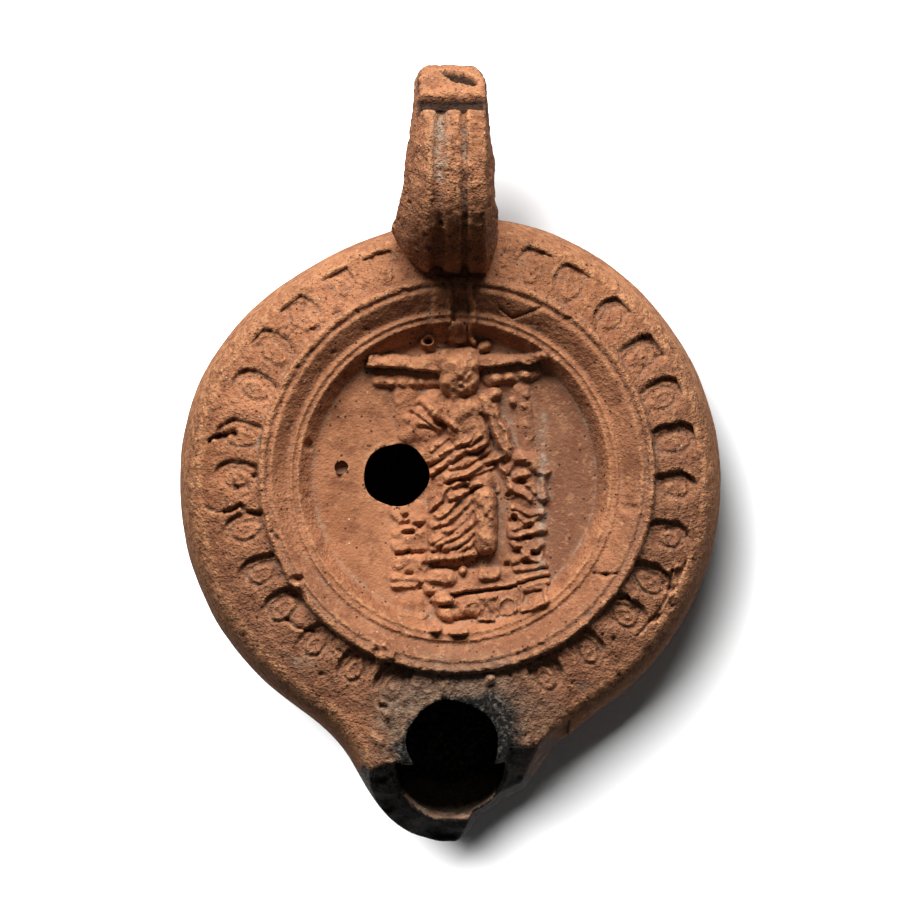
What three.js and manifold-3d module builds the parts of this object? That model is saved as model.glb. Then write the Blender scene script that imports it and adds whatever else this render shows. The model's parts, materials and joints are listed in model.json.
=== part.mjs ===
// A mould-made oil lamp of fired clay, from the Roman imperial period.
// It is one hollow piece: a low round body, a dished discus with an enthroned figure in relief and an
// off-centre filling hole, a shoulder stamped with ovolos, a pierced ring handle at the back and a short
// round nozzle with the wick hole, whose front has broken away. Millimetres, +Z up, nozzle towards -Y,
// handle towards +Y, origin at the centre of the flat base.

import * as THREE from "three";
import { mergeVertices } from "three/addons/utils/BufferGeometryUtils.js";
import Module from "manifold-3d";

const wasm = await Module();
wasm.setup();

// Body: radii grow outwards from the discus, heights grow upwards from the table.
const DISCUS_RADIUS = 22.4; // to the crest of the thin ridge round the discus
const RIM_WIDTH = 5.9; // from that ridge to the outside of the raised rim
const SHOULDER_WIDTH = 7.3; // from the rim to the edge of the shoulder
const SIDE_BULGE = 3.8; // how far the side stands out past the shoulder's edge
const SIDE_SHIFT_X = -1; // the side and base come from a mould half that was set slightly off
const SIDE_SHIFT_Y = -1.3;
const DENT_DEPTH = 1.9; // the side is pressed flat beside the handle's left root
const DENT_BEARING = THREE.MathUtils.degToRad(208); // round from the nozzle
const DENT_HALF_ANGLE = THREE.MathUtils.degToRad(50);
const BASE_RADIUS = 20.6;
const BASE_GROOVE_WIDTH = 1.8;
const BASE_GROOVE_DEPTH = 0.6;
const BASE_EDGE_HEIGHT = 1.3;
const BASE_EDGE_SPREAD = 0.8; // how much wider the base is at that height
const WIDEST_HEIGHT = 14.5;
const SHOULDER_EDGE_RISE = 10.1; // from the widest level up to the shoulder's edge
const SHOULDER_RISE = 2; // from the shoulder's edge up to the foot of the rim
const RIM_RISE = 1.2; // from there to the top of the rim
const RIM_FOOT_SPREAD = 0.3; // how far the rim's outer side slopes out on its way down
const RIM_ROUNDING = 0.2;
const RIM_CREST = 0.7; // width of the rim's outer ridge, then comes a groove
const RIM_GROOVE_WIDTH = 1.1;
const RIM_GROOVE_DEPTH = 0.5;
const RIM_FALL = 2.1; // from the top of the rim down to the foot of the discus ridge
const RIDGE_WIDTH = 0.8;
const RIDGE_RISE = 0.35;
const DISCUS_EDGE_WIDTH = 1.8; // from the ridge's crest in to the discus floor
const DISCUS_EDGE_DEPTH = 2.2; // from the ridge's foot down to that floor
const DISCUS_DISH = 1.5; // how much lower the middle of the discus is
const WALL = 4; // clay thickness
const CHAMBER_FLOOR_DISH = 0.2;

// Nozzle: a round spout that merges with the body.
const NOZZLE_RADIUS = 11.7;
const NOZZLE_CENTRE = 41.8; // its centre, from the discus centre
const NOZZLE_OFFSET_X = -1;
const NOZZLE_TOP_INSET = 1.9; // how much smaller its flat top is
const NOZZLE_BLEND = 12; // size of the hollow curve where it meets the body
const KEEL_RADIUS = 9.6; // the nozzle's underside starts within the base, this wide
const KEEL_CENTRE = 10.7; // and this far from the discus centre
const WICK_HOLE_RADIUS = 6.55;
const WICK_HOLE_OFFSET_X = 0.4; // from the nozzle's centre
const WICK_HOLE_BACK = 3.2; // behind the nozzle's centre

// The break: the clay above this sloping, rough surface is lost.
const BREAK_START_LEFT = -0.4; // where the top wall snapped on the left, in front of the nozzle's centre
const BREAK_START_RIGHT = -2.6;
const BREAK_STEP = 1.5; // the drop where it snapped
const BREAK_STEP_SLOPE = 5;
const BREAK_SLOPE_LEFT = 0.7; // how steeply the broken wall then falls towards the tip
const BREAK_SLOPE_RIGHT = 1.25;
const BREAK_CHORD = 9; // from the nozzle's centre to the edge snapped off the front right
const BREAK_CHORD_BEARING = THREE.MathUtils.degToRad(-52.8); // that edge's direction from the centre
const BREAK_CHORD_HEIGHT = 11;
const BREAK_CHORD_SLOPE = 5;
const BREAK_ROUGHNESS = 0.35;
const BREAK_LUMP = 3.3; // from one lump of the broken surface to the next

// Holes in the discus.
const FILL_HOLE_RADIUS = 4.6;
const FILL_HOLE_X = -8.7;
const FILL_HOLE_Y = 0;
const VENT_RADIUS = 0.95; // a blind prick beside the filling hole
const VENT_X = -16.6;
const VENT_Y = 1.1;
const VENT_DEPTH = 1.1;

// Handle: a ring standing on the shoulder and running down the back.
const HANDLE_CENTRE_Y = 43.6;
const HANDLE_CENTRE_Z = 27.6;
const HANDLE_HOLE_RADIUS = 6;
const HANDLE_THICKNESS = 8.8; // from the finger hole to the outer face
const HANDLE_LEFT_WIDTH = 7.3; // the flanks are uneven
const HANDLE_RIGHT_WIDTH = 5.3;
const HANDLE_FACE_HALF_WIDTH = 3.9;
const HANDLE_BACK_FACE = 0.87; // behind, the outer face spreads to this share of the flanks' width
const HANDLE_GROOVES = [1.1, -2.2]; // grooves that run along the outer face
const HANDLE_GROOVE_HALF_WIDTH = 0.8;
const HANDLE_GROOVE_DEPTH = 0.9;
const HANDLE_BACK_TAPER = 0.22; // how much narrower the back of the ring is
const HANDLE_ROOT_FLARE = 0.3; // how much wider it is where it joins the body
const HANDLE_ROOT_ANGLE = THREE.MathUtils.degToRad(-120); // where that is, round from the ring's top
const CROSS_GROOVE_ANGLE = THREE.MathUtils.degToRad(37); // behind the top of the ring
const CROSS_GROOVE_HALF_ANGLE = THREE.MathUtils.degToRad(3.2);
const CROSS_GROOVE_DEPTH = 1.1;
const CHIP_X = 0.7; // a chip behind the cross groove
const CHIP_HALF_WIDTH = 1.9;
const CHIP_HALF_LENGTH = 1.1;
const CHIP_DEPTH = 1.3;
const CHIP_ANGLE = THREE.MathUtils.degToRad(58);

// Ovolo stamps, in two runs from the handle round to the nozzle.
const STAMP_HALF_WIDTH = 2.7;
const STAMP_DEPTH = 0.8;
const STAMP_START = 0.35; // from the rim's outside to the stamp's straight end
const STAMP_END_MARGIN = 0.9; // shoulder left plain outside each stamp
const EGG_SHARE = 0.6; // size of the raised egg inside a stamp, as a share of the stamp
const EGG_RISE = 0.9;
const STAMP_RUNS = [
  { first: 70, step: -12.3, count: 12 },
  { first: 110, step: 12, count: 13 },
];

// Fineness of the faceted surfaces.
const BODY_SEGMENTS = 46;
const NOZZLE_FOCUS = 0.5; // how much the segments crowd towards the nozzle
const CHAMBER_SEGMENTS = 24;
const CURVE_STEPS = 4;
const HOLE_SEGMENTS = 16;
const BREAK_CELLS = 7;
const HANDLE_STATIONS = 20;
const MERGE_DISTANCE = 1e-4;
const OUTLINE_HALVINGS = 30; // how closely an outline is found

// Radii and heights that follow from those sizes.
const rimRadius = DISCUS_RADIUS + RIM_WIDTH;
const shoulderRadius = rimRadius + SHOULDER_WIDTH;
const bodyRadius = shoulderRadius + SIDE_BULGE;
const shoulderEdgeHeight = WIDEST_HEIGHT + SHOULDER_EDGE_RISE;
const rimFootHeight = shoulderEdgeHeight + SHOULDER_RISE;
const rimHeight = rimFootHeight + RIM_RISE;
const ridgeFootHeight = rimHeight - RIM_FALL;
const discusEdgeHeight = ridgeFootHeight - DISCUS_EDGE_DEPTH;
const discusHeight = discusEdgeHeight - DISCUS_DISH;
const wickHoleX = NOZZLE_OFFSET_X + WICK_HOLE_OFFSET_X;
const wickHoleReach = NOZZLE_CENTRE - WICK_HOLE_BACK;
const handleRadius = HANDLE_HOLE_RADIUS + HANDLE_THICKNESS;
const aboveEverything = rimHeight + handleRadius;

const lerp = THREE.MathUtils.lerp;
const steps = (count) => Array.from({ length: count }, (_, i) => i / (count - 1));

// A three.js geometry as a manifold solid, its shared vertices merged.
function solidOf(geometry) {
  const bare = geometry.clone();
  bare.deleteAttribute("normal");
  bare.deleteAttribute("uv");
  const merged = mergeVertices(bare, MERGE_DISTANCE);
  const corners = merged.index.array;
  const kept = [];
  for (let i = 0; i < corners.length; i += 3) {
    const [a, b, c] = [corners[i], corners[i + 1], corners[i + 2]];
    if (a !== b && b !== c && a !== c) kept.push(a, b, c);
  }
  return new wasm.Manifold(
    new wasm.Mesh({
      numProp: 3,
      vertProperties: merged.attributes.position.array,
      triVerts: new Uint32Array(kept),
    }),
  );
}

// A level of the body: the body's radius there, the nozzle's radius and centre, and the height.
const level = (body, nozzle, centre, height) => ({ body, nozzle, centre, height });

// Polynomial smooth union of two distances.
function blendedDistance(a, b, size) {
  const near = Math.max(size - Math.abs(a - b), 0) / size;
  return Math.min(a, b) - (near * near * size) / 4;
}

// Distance from the discus axis to a level's outline, on a bearing from the nozzle's direction.
function outlineRadius({ body, nozzle, centre, height }, bearing) {
  const fading = THREE.MathUtils.smoothstep(body, rimRadius, bodyRadius);
  const off = height < WIDEST_HEIGHT ? 1 : fading; // how fully the level belongs to the shifted side
  const aside = THREE.MathUtils.euclideanModulo(bearing - DENT_BEARING + Math.PI, 2 * Math.PI) - Math.PI;
  const pressed = Math.cos((THREE.MathUtils.clamp(aside / DENT_HALF_ANGLE, -1, 1) * Math.PI) / 2) ** 2;
  const dent = off * DENT_DEPTH * pressed * (body / bodyRadius) ** 2;
  const direction = new THREE.Vector2(Math.sin(bearing), -Math.cos(bearing));
  const bodyCentre = new THREE.Vector2(SIDE_SHIFT_X * off, SIDE_SHIFT_Y * off);
  const nozzleCentre = new THREE.Vector2(NOZZLE_OFFSET_X, -centre);
  const distanceAt = (reach) => {
    const point = direction.clone().multiplyScalar(reach);
    const toBody = point.distanceTo(bodyCentre) - body + dent;
    const toNozzle = point.distanceTo(nozzleCentre) - nozzle;
    return nozzle > 0 ? blendedDistance(toBody, toNozzle, NOZZLE_BLEND) : toBody;
  };
  let outside = body + centre + nozzle;
  let inside = body / 2;
  for (let i = 0; i < OUTLINE_HALVINGS; i++) {
    const middle = (inside + outside) / 2;
    if (distanceAt(middle) > 0) outside = middle;
    else inside = middle;
  }
  return inside;
}

// A closed skin turned through the levels, from the bottom of the axis to its top, then pulled out to
// each level's outline.
function turnedSkin(levels, segments) {
  const profile = levels.map(({ body, height }) => new THREE.Vector2(body, height));
  const geometry = new THREE.LatheGeometry(profile, segments);
  const position = geometry.attributes.position;
  for (let i = 0; i < position.count; i++) {
    const ring = levels[i % levels.length];
    const turn = (Math.floor(i / levels.length) / segments) * 2 * Math.PI;
    const bearing = turn - NOZZLE_FOCUS * Math.sin(turn);
    const reach = ring.body > 0 ? outlineRadius(ring, bearing) : 0;
    position.setXYZ(i, reach * Math.sin(bearing), -reach * Math.cos(bearing), ring.height);
  }
  return geometry;
}

// Levels from the base's edge to the widest level, then on up to the shoulder's edge, this far inside
// the lamp's own surface.
function sideLevels({ low, lowHeight, inset, edgeHeight }) {
  const swing = (t) => (t * Math.PI) / 2;
  const nozzle = NOZZLE_RADIUS - inset;
  const wide = bodyRadius - inset;
  const bowl = steps(CURVE_STEPS + 1).map((t) =>
    level(
      lerp(low, wide, Math.sin(swing(t))),
      lerp(KEEL_RADIUS - inset / 2, nozzle, t),
      lerp(KEEL_CENTRE - inset / 2, NOZZLE_CENTRE, Math.sin(swing(t))),
      lerp(WIDEST_HEIGHT, lowHeight, Math.cos(swing(t))),
    ),
  );
  const upper = steps(CURVE_STEPS).slice(1).map((t) =>
    level(
      lerp(shoulderRadius - inset, wide, Math.cos(swing(t))),
      lerp(nozzle - NOZZLE_TOP_INSET, nozzle, Math.cos(swing(t))),
      NOZZLE_CENTRE,
      lerp(WIDEST_HEIGHT, edgeHeight, Math.sin(swing(t))),
    ),
  );
  return [...bowl, ...upper];
}

// The discus, ridge and rim as plain rings, from the outside in.
function rimAndDiscus() {
  const ring = (radius, height) => level(radius, 0, 0, height);
  const grooveRadius = rimRadius - RIM_CREST - RIM_GROOVE_WIDTH / 2;
  return [
    ring(rimRadius + RIM_FOOT_SPREAD, rimFootHeight),
    ring(rimRadius, rimHeight - RIM_ROUNDING),
    ring(rimRadius - RIM_CREST, rimHeight),
    ring(grooveRadius, rimHeight - RIM_GROOVE_DEPTH),
    ring(grooveRadius - RIM_GROOVE_WIDTH / 2, rimHeight - RIM_ROUNDING),
    ring(DISCUS_RADIUS + RIDGE_WIDTH, ridgeFootHeight),
    ring(DISCUS_RADIUS, ridgeFootHeight + RIDGE_RISE),
    ring(DISCUS_RADIUS - DISCUS_EDGE_WIDTH, discusEdgeHeight),
    ring(DISCUS_RADIUS / 2, discusHeight + DISCUS_DISH / 4),
    ring(0, discusHeight),
  ];
}

// Height of the rim or discus surface at a distance from the axis.
function topHeight(radius) {
  const rings = rimAndDiscus();
  const outer = Math.max(1, rings.findIndex(({ body }) => body <= radius));
  const [a, b] = [rings[outer - 1], rings[outer]];
  return lerp(a.height, b.height, THREE.MathUtils.clamp((a.body - radius) / (a.body - b.body), 0, 1));
}

function outerSkin() {
  const foot = (inset, height) => level(BASE_RADIUS - inset, 0, 0, height);
  const base = [
    level(0, 0, 0, 0),
    foot(2 * BASE_GROOVE_WIDTH, 0),
    foot(1.5 * BASE_GROOVE_WIDTH, BASE_GROOVE_DEPTH),
    foot(BASE_GROOVE_WIDTH, 0),
    foot(0, 0),
  ];
  const side = sideLevels({
    low: BASE_RADIUS + BASE_EDGE_SPREAD,
    lowHeight: BASE_EDGE_HEIGHT,
    inset: 0,
    edgeHeight: shoulderEdgeHeight,
  });
  return turnedSkin([...base, ...side, ...rimAndDiscus()], BODY_SEGMENTS);
}

// The oil chamber, one wall inside the outer skin.
function chamberSkin() {
  const floorHeight = BASE_GROOVE_DEPTH + WALL;
  const side = sideLevels({
    low: BASE_RADIUS - WALL / 2,
    lowHeight: floorHeight + CHAMBER_FLOOR_DISH,
    inset: WALL,
    edgeHeight: shoulderEdgeHeight - WALL,
  });
  const ceiling = [
    level(rimRadius, 0, 0, rimFootHeight - WALL),
    level(DISCUS_RADIUS, 0, 0, discusEdgeHeight - WALL),
    level(0, 0, 0, discusHeight - WALL),
  ];
  return turnedSkin([level(0, 0, 0, floorHeight), ...side, ...ceiling], CHAMBER_SEGMENTS);
}

// An upright round cutter between two heights.
function drill(radius, x, y, low, high) {
  const geometry = new THREE.CylinderGeometry(radius, radius, high - low, HOLE_SEGMENTS);
  geometry.rotateX(Math.PI / 2);
  geometry.translate(x, y, (low + high) / 2);
  return solidOf(geometry);
}

// The surface that the nozzle broke along: a step down across the top wall, a fall towards the tip that
// is steeper on the right, and a steep face across the front right, all a little uneven.
function breakHeight(x, y) {
  const right = THREE.MathUtils.smoothstep(x, -WICK_HOLE_RADIUS / 2, WICK_HOLE_RADIUS);
  const forward = -y - NOZZLE_CENTRE;
  const ahead = forward - lerp(BREAK_START_LEFT, BREAK_START_RIGHT, right);
  const slope = ahead > 0 ? lerp(BREAK_SLOPE_LEFT, BREAK_SLOPE_RIGHT, right) : BREAK_STEP_SLOPE;
  const falling = shoulderEdgeHeight - BREAK_STEP - slope * ahead;
  const sideways = (x - NOZZLE_OFFSET_X) * Math.cos(BREAK_CHORD_BEARING);
  const past = sideways - forward * Math.sin(BREAK_CHORD_BEARING) - BREAK_CHORD;
  const face = BREAK_CHORD_HEIGHT - BREAK_CHORD_SLOPE * past;
  const wave = (2 * Math.PI) / BREAK_LUMP;
  const uneven = Math.sin(wave * (x + y / 3)) + Math.sin(wave * (y - x / 2));
  return Math.min(falling, face, aboveEverything - 1) + BREAK_ROUGHNESS * uneven;
}

// A block above the break surface, covering the front of the nozzle.
function lostClay() {
  const width = 2 * (NOZZLE_RADIUS + WALL);
  const depth = NOZZLE_RADIUS + 2 * WALL;
  const geometry = new THREE.BoxGeometry(width, depth, 1, BREAK_CELLS, BREAK_CELLS, 1);
  geometry.translate(-NOZZLE_OFFSET_X, -(NOZZLE_CENTRE + BREAK_START_RIGHT + depth / 2 - BREAK_STEP), 0);
  const position = geometry.attributes.position;
  for (let i = 0; i < position.count; i++) {
    const low = breakHeight(position.getX(i), position.getY(i));
    position.setZ(i, position.getZ(i) > 0 ? aboveEverything + 1 : low);
  }
  return solidOf(geometry);
}

// One flank of the handle's section, from the finger hole outwards, as [across, outwards] pairs: it is
// widest a third of the way out and narrows towards the outer face.
function handleFlank(width, face, side) {
  const shape = [
    [0.85 * width, 0],
    [width, 0.3],
    [(width + face) / 2, 0.75],
  ];
  return shape.map(([across, outward]) => [side * across, HANDLE_HOLE_RADIUS + outward * HANDLE_THICKNESS]);
}

// The handle's section at an angle round the ring from its top.
function handleSection(angle) {
  const behind = THREE.MathUtils.clamp(Math.sin(angle), 0, 1);
  const rooted = THREE.MathUtils.smoothstep(Math.cos(angle - HANDLE_ROOT_ANGLE), 0.2, 1);
  const width = 1 - HANDLE_BACK_TAPER * behind + HANDLE_ROOT_FLARE * rooted;
  const face = (flank) => lerp(HANDLE_FACE_HALF_WIDTH, HANDLE_BACK_FACE * flank, behind);
  const inCrossGroove = Math.abs(angle - CROSS_GROOVE_ANGLE) < CROSS_GROOVE_HALF_ANGLE;
  const top = handleRadius - (inCrossGroove ? CROSS_GROOVE_DEPTH : 0);
  const floor = top - (angle < CROSS_GROOVE_ANGLE ? HANDLE_GROOVE_DEPTH : 0);
  const grooves = HANDLE_GROOVES.flatMap((middle) => [
    [middle + HANDLE_GROOVE_HALF_WIDTH, top],
    [middle, floor],
    [middle - HANDLE_GROOVE_HALF_WIDTH, top],
  ]);
  const section = [
    ...handleFlank(HANDLE_RIGHT_WIDTH, face(HANDLE_RIGHT_WIDTH), 1),
    [face(HANDLE_RIGHT_WIDTH), top],
    ...grooves,
    [-face(HANDLE_LEFT_WIDTH), top],
    ...handleFlank(HANDLE_LEFT_WIDTH, face(HANDLE_LEFT_WIDTH), -1).reverse(),
  ];
  return section.map(([across, out]) => [across * width, out]);
}

// The ring handle: its section carried once round the finger hole, with a station on each side and in
// the middle of the cross groove.
function handleRing() {
  const even = Array.from({ length: HANDLE_STATIONS }, (_, i) => i / HANDLE_STATIONS - 0.5);
  const angles = even.map((share) => CROSS_GROOVE_ANGLE + 2 * Math.PI * share);
  angles.push(CROSS_GROOVE_ANGLE - CROSS_GROOVE_HALF_ANGLE, CROSS_GROOVE_ANGLE + CROSS_GROOVE_HALF_ANGLE);
  angles.sort((a, b) => a - b);
  const sectionSize = handleSection(0).length;
  const geometry = new THREE.PlaneGeometry(1, 1, sectionSize, angles.length);
  const position = geometry.attributes.position;
  for (let i = 0; i < position.count; i++) {
    const angle = angles[Math.floor(i / (sectionSize + 1)) % angles.length];
    const [across, out] = handleSection(angle)[i % (sectionSize + 1) % sectionSize];
    position.setXYZ(
      i,
      across,
      HANDLE_CENTRE_Y + out * Math.sin(angle),
      HANDLE_CENTRE_Z + out * Math.cos(angle),
    );
  }
  return solidOf(geometry);
}

// A chip out of the handle's back, behind the cross groove.
function handleChip() {
  const geometry = new THREE.SphereGeometry(1, 8, 6);
  geometry.scale(CHIP_HALF_WIDTH, CHIP_HALF_LENGTH, CHIP_DEPTH);
  geometry.translate(
    CHIP_X,
    HANDLE_CENTRE_Y + handleRadius * Math.sin(CHIP_ANGLE),
    HANDLE_CENTRE_Z + handleRadius * Math.cos(CHIP_ANGLE),
  );
  return solidOf(geometry);
}

// A round-ended tongue, its straight end at the origin, lying along +X.
function tongue(length, halfWidth, depth) {
  const shape = new THREE.Shape();
  shape.moveTo(0, -halfWidth);
  shape.lineTo(length - halfWidth, -halfWidth);
  shape.absarc(length - halfWidth, 0, halfWidth, -Math.PI / 2, Math.PI / 2, false);
  shape.lineTo(0, halfWidth);
  return new THREE.ExtrudeGeometry(shape, { depth, bevelEnabled: false, curveSegments: 2 });
}

// Lays a tongue on the sloping shoulder, on a bearing in degrees, its floor this far below the surface.
function onShoulder(geometry, bearing, inset, depth) {
  const slope = Math.atan2(SHOULDER_RISE, SHOULDER_WIDTH);
  geometry.rotateY(slope);
  geometry.translate(rimRadius + STAMP_START + inset, 0, rimFootHeight - depth - inset * Math.tan(slope));
  geometry.rotateZ(THREE.MathUtils.degToRad(bearing));
  return solidOf(geometry);
}

const stampBearings = STAMP_RUNS.flatMap(({ first, step, count }) =>
  Array.from({ length: count }, (_, i) => first + i * step),
);

// Each stamp is a sunk tongue with an egg standing inside it.
function stamp(bearing) {
  const length = SHOULDER_WIDTH - STAMP_END_MARGIN;
  const sunk = onShoulder(tongue(length, STAMP_HALF_WIDTH, SHOULDER_EDGE_RISE), bearing, 0, STAMP_DEPTH);
  const egg = new THREE.SphereGeometry(1, 5, 3);
  egg.rotateZ(Math.PI / 2);
  egg.scale(length * EGG_SHARE, STAMP_HALF_WIDTH * EGG_SHARE, EGG_RISE);
  return { sunk, egg: onShoulder(egg, bearing, (length * EGG_SHARE) / 2, EGG_RISE) };
}

// Relief: each ridge of clay runs from one point of the discus to another, half sunk in the surface,
// round-backed where it is broad and sharp where it is slender.
// Places and half widths are hundredths of the discus radius, x to the right and y towards the handle,
// and so is the height that the ridge stands above the surface it lies on.
const share = DISCUS_RADIUS / 100;
function ridge([ax, ay], [bx, by], startWidth, endWidth, height) {
  const slender = Math.max(startWidth, endWidth) < 5;
  const spread = slender ? Math.sqrt(3) : 1;
  const geometry = new THREE.SphereGeometry(1, slender ? 3 : 6, 3);
  geometry.rotateY(Math.PI / 2);
  const start = new THREE.Vector2(ax, ay).multiplyScalar(share);
  const end = new THREE.Vector2(bx, by).multiplyScalar(share);
  const along = end.clone().sub(start);
  along.setLength(1);
  const position = geometry.attributes.position;
  for (let i = 0; i < position.count; i++) {
    const [across, forth, up] = [position.getX(i) * spread, position.getY(i), position.getZ(i)];
    const [foot, width] = forth > 0 ? [end, endWidth * share] : [start, startWidth * share];
    position.setXYZ(
      i,
      foot.x + width * (forth * along.x + across * along.y),
      foot.y + width * (forth * along.y - across * along.x),
      topHeight(foot.length()) + up * height * share,
    );
  }
  return solidOf(geometry);
}

// A rounded lump, longer along one direction.
function lump([x, y], halfLength, halfWidth, height, bearing = 0) {
  const turn = THREE.MathUtils.degToRad(bearing);
  const reach = Math.max(halfLength - halfWidth, 0.01);
  const end = [x + reach * Math.cos(turn), y + reach * Math.sin(turn)];
  const start = [x - reach * Math.cos(turn), y - reach * Math.sin(turn)];
  return ridge(start, end, halfWidth, halfWidth, height);
}

// A fold of cloth: a chain of ridges along a curve that sags sideways between its ends.
function fold([ax, ay], [bx, by], sag, width, height, pieces = 2) {
  const place = (t) => {
    const swing = sag * 4 * t * (1 - t);
    const length = Math.hypot(bx - ax, by - ay);
    return [lerp(ax, bx, t) + (swing * (ay - by)) / length, lerp(ay, by, t) + (swing * (bx - ax)) / length];
  };
  return steps(pieces + 1).slice(1).map((t) => ridge(place(t - 1 / pieces), place(t), width, width, height));
}

// A bent strip: ridges along part of a circle, angles in degrees.
function arc([x, y], radius, from, to, width, height, pieces) {
  const place = (t) => {
    const turn = THREE.MathUtils.degToRad(lerp(from, to, t));
    return [x + radius * Math.cos(turn), y + radius * Math.sin(turn)];
  };
  return steps(pieces + 1).slice(1).map((t) => ridge(place(t - 1 / pieces), place(t), width, width, height));
}

// A row of equal lumps between two points.
const beads = ([ax, ay], [bx, by], count, width, height) =>
  steps(count).map((t) => lump([lerp(ax, bx, t), lerp(ay, by, t)], width, width, height));

// A saltire that fills a cell of the throne's side.
const saltire = ([x, y], halfWidth, halfHeight) => [
  ridge([x - halfWidth, y - halfHeight], [x + halfWidth, y + halfHeight], 2, 2, 4),
  ridge([x - halfWidth, y + halfHeight], [x + halfWidth, y - halfHeight], 2, 2, 4),
];

// The throne: cornice with beads under it, posts, round arm end, cross-braced sides and block feet.
function throne() {
  return [
    ridge([-56, 71.5], [-14, 71.5], 4.6, 4.6, 8),
    ridge([18, 74], [56, 75.5], 4.6, 4.2, 8),
    ridge([-55, 70], [-46, 56], 3, 2.4, 6),
    ridge([56, 72], [48, 58], 3, 2.4, 6),
    ...beads([-43, 60], [-19, 60.5], 4, 3.4, 5),
    ...beads([26, 63], [45, 66], 3, 3.6, 5.5),
    ridge([-35, 52], [-34, 22], 5.5, 5.5, 2.5),
    ridge([40, 55], [43, 15], 5, 5, 3),
    lump([-31, 38], 4.5, 4.5, 4.5),
    ...arc([39.5, -3], 14.5, -15, 150, 3.6, 6.5, 3),
    lump([42, -3], 4, 4, 6),
    ridge([34, -8], [55, -14], 3, 3, 5),
    ridge([34, -16], [34, -60], 2, 2, 4),
    ridge([55, -14], [56, -60], 2, 2, 4),
    ...saltire([44, -24], 8, 10),
    ...saltire([45, -50], 8, 6.5),
    ridge([36, -40], [55, -38], 2.2, 2.2, 4),
    ridge([35, -66], [57, -61], 2.2, 2.2, 4),
    ridge([42, -78], [55, -75], 6, 5, 4),
    ridge([-41, -26], [-40, -66], 2, 2, 3.5),
    ...saltire([-31, -31], 8, 8),
    ...saltire([-31, -55], 8, 7),
    ridge([-40, -43], [-21, -44], 2.2, 2.2, 3.5),
    ridge([-42, -70], [-17, -72], 2.2, 2.2, 3.5),
    ridge([-35, -83], [-20, -85], 5, 5, 3.5),
  ];
}

// The seated figure, facing front: head with a tall crown, bare chest and arm, legs under a mantle.
function figure() {
  return [
    ridge([-8, 85], [-8, 117], 4.5, 4.5, 4),
    ridge([6, 85], [6, 117], 4.5, 4.5, 4),
    lump([0.5, 91.5], 5.2, 5.2, 8),
    lump([-18.5, 85.5], 5, 5, 4.5),
    lump([17, 82], 4.2, 4.2, 4.5),
    ridge([-8, 73], [8, 74], 8.5, 8.5, 11),
    ridge([0, 67], [0.5, 60], 10.5, 8.5, 14),
    lump([1, 46], 6, 6, 8),
    lump([3, 34], 16, 15, 8.5, 90),
    ridge([-15, 45], [-21, 26], 7.5, 6, 7.5),
    ridge([-21, 26], [-7, 15], 6, 4.5, 7),
    ridge([17, 47], [32, 14], 7.5, 5, 7.5),
    ridge([26, 47], [38, 21], 3, 3, 4),
    lump([23, 53.5], 5, 4.5, 6.5),
    ridge([-7, -2], [-5, -17], 13, 12, 10),
    ridge([14, 3], [18, -14], 11, 9, 12),
    ridge([18, -16], [18.5, -46], 8.6, 7.2, 12),
    ridge([-9, -19], [-11, -51], 10.5, 10, 8.5),
    ridge([3, -19], [0, -49], 11, 11, 6),
    lump([-10.5, -66], 7.5, 5.5, 8, 20),
    lump([19, -63], 8, 5.2, 7.5, -15),
    lump([3.8, -60], 2.8, 2.8, 6.5),
  ];
}

// The mantle: rolls across the waist, folds over the lap and folds that fan out from the knee.
function mantle() {
  const fan = steps(5).flatMap((t) => {
    const knee = [lerp(9, 12, t), lerp(-12, -44, t)];
    const hem = [lerp(-19, 2, t ** 2), lerp(-22, -54, t)];
    return fold(knee, hem, lerp(4, 2, t), 2.2, 11);
  });
  return [
    ...fold([-17, 11], [21, 17], -3, 4, 9.5),
    ...fold([-17, 1], [26, 10], 4, 4, 9),
    ridge([-15, 34], [2, 26], 2.2, 2, 9),
    ridge([-17, 41], [-3, 33], 2.2, 2, 9),
    ...fold([24, 9], [33, -14], 5, 3, 7),
    ridge([-16, -5], [10, -6], 2.2, 2.4, 12),
    ridge([-17, -13], [10, -12], 2.2, 2.4, 12),
    ...fan,
    ridge([-18, -54], [8, -52], 3, 2.6, 9),
  ];
}

// The footstool: a sloping top, a front edge, two small arches under it, and a beast crouching beside it.
function footstool() {
  return [
    ridge([-8, -72], [30, -66], 8, 8, 4.5),
    ridge([-13, -79.5], [36, -72], 2.4, 2.4, 6.5),
    ridge([-3, -87], [35, -81], 6, 6, 3),
    ...arc([10, -86], 5.5, 10, 190, 1.8, 5, 2),
    ...arc([30.5, -83], 5.5, 10, 190, 1.8, 5, 2),
    ridge([-8, -77], [-9, -90], 6.5, 7.5, 9),
    lump([-14, -98.5], 4.5, 2.5, 4),
    lump([1, -100], 5, 2, 3.5),
  ];
}

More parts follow.
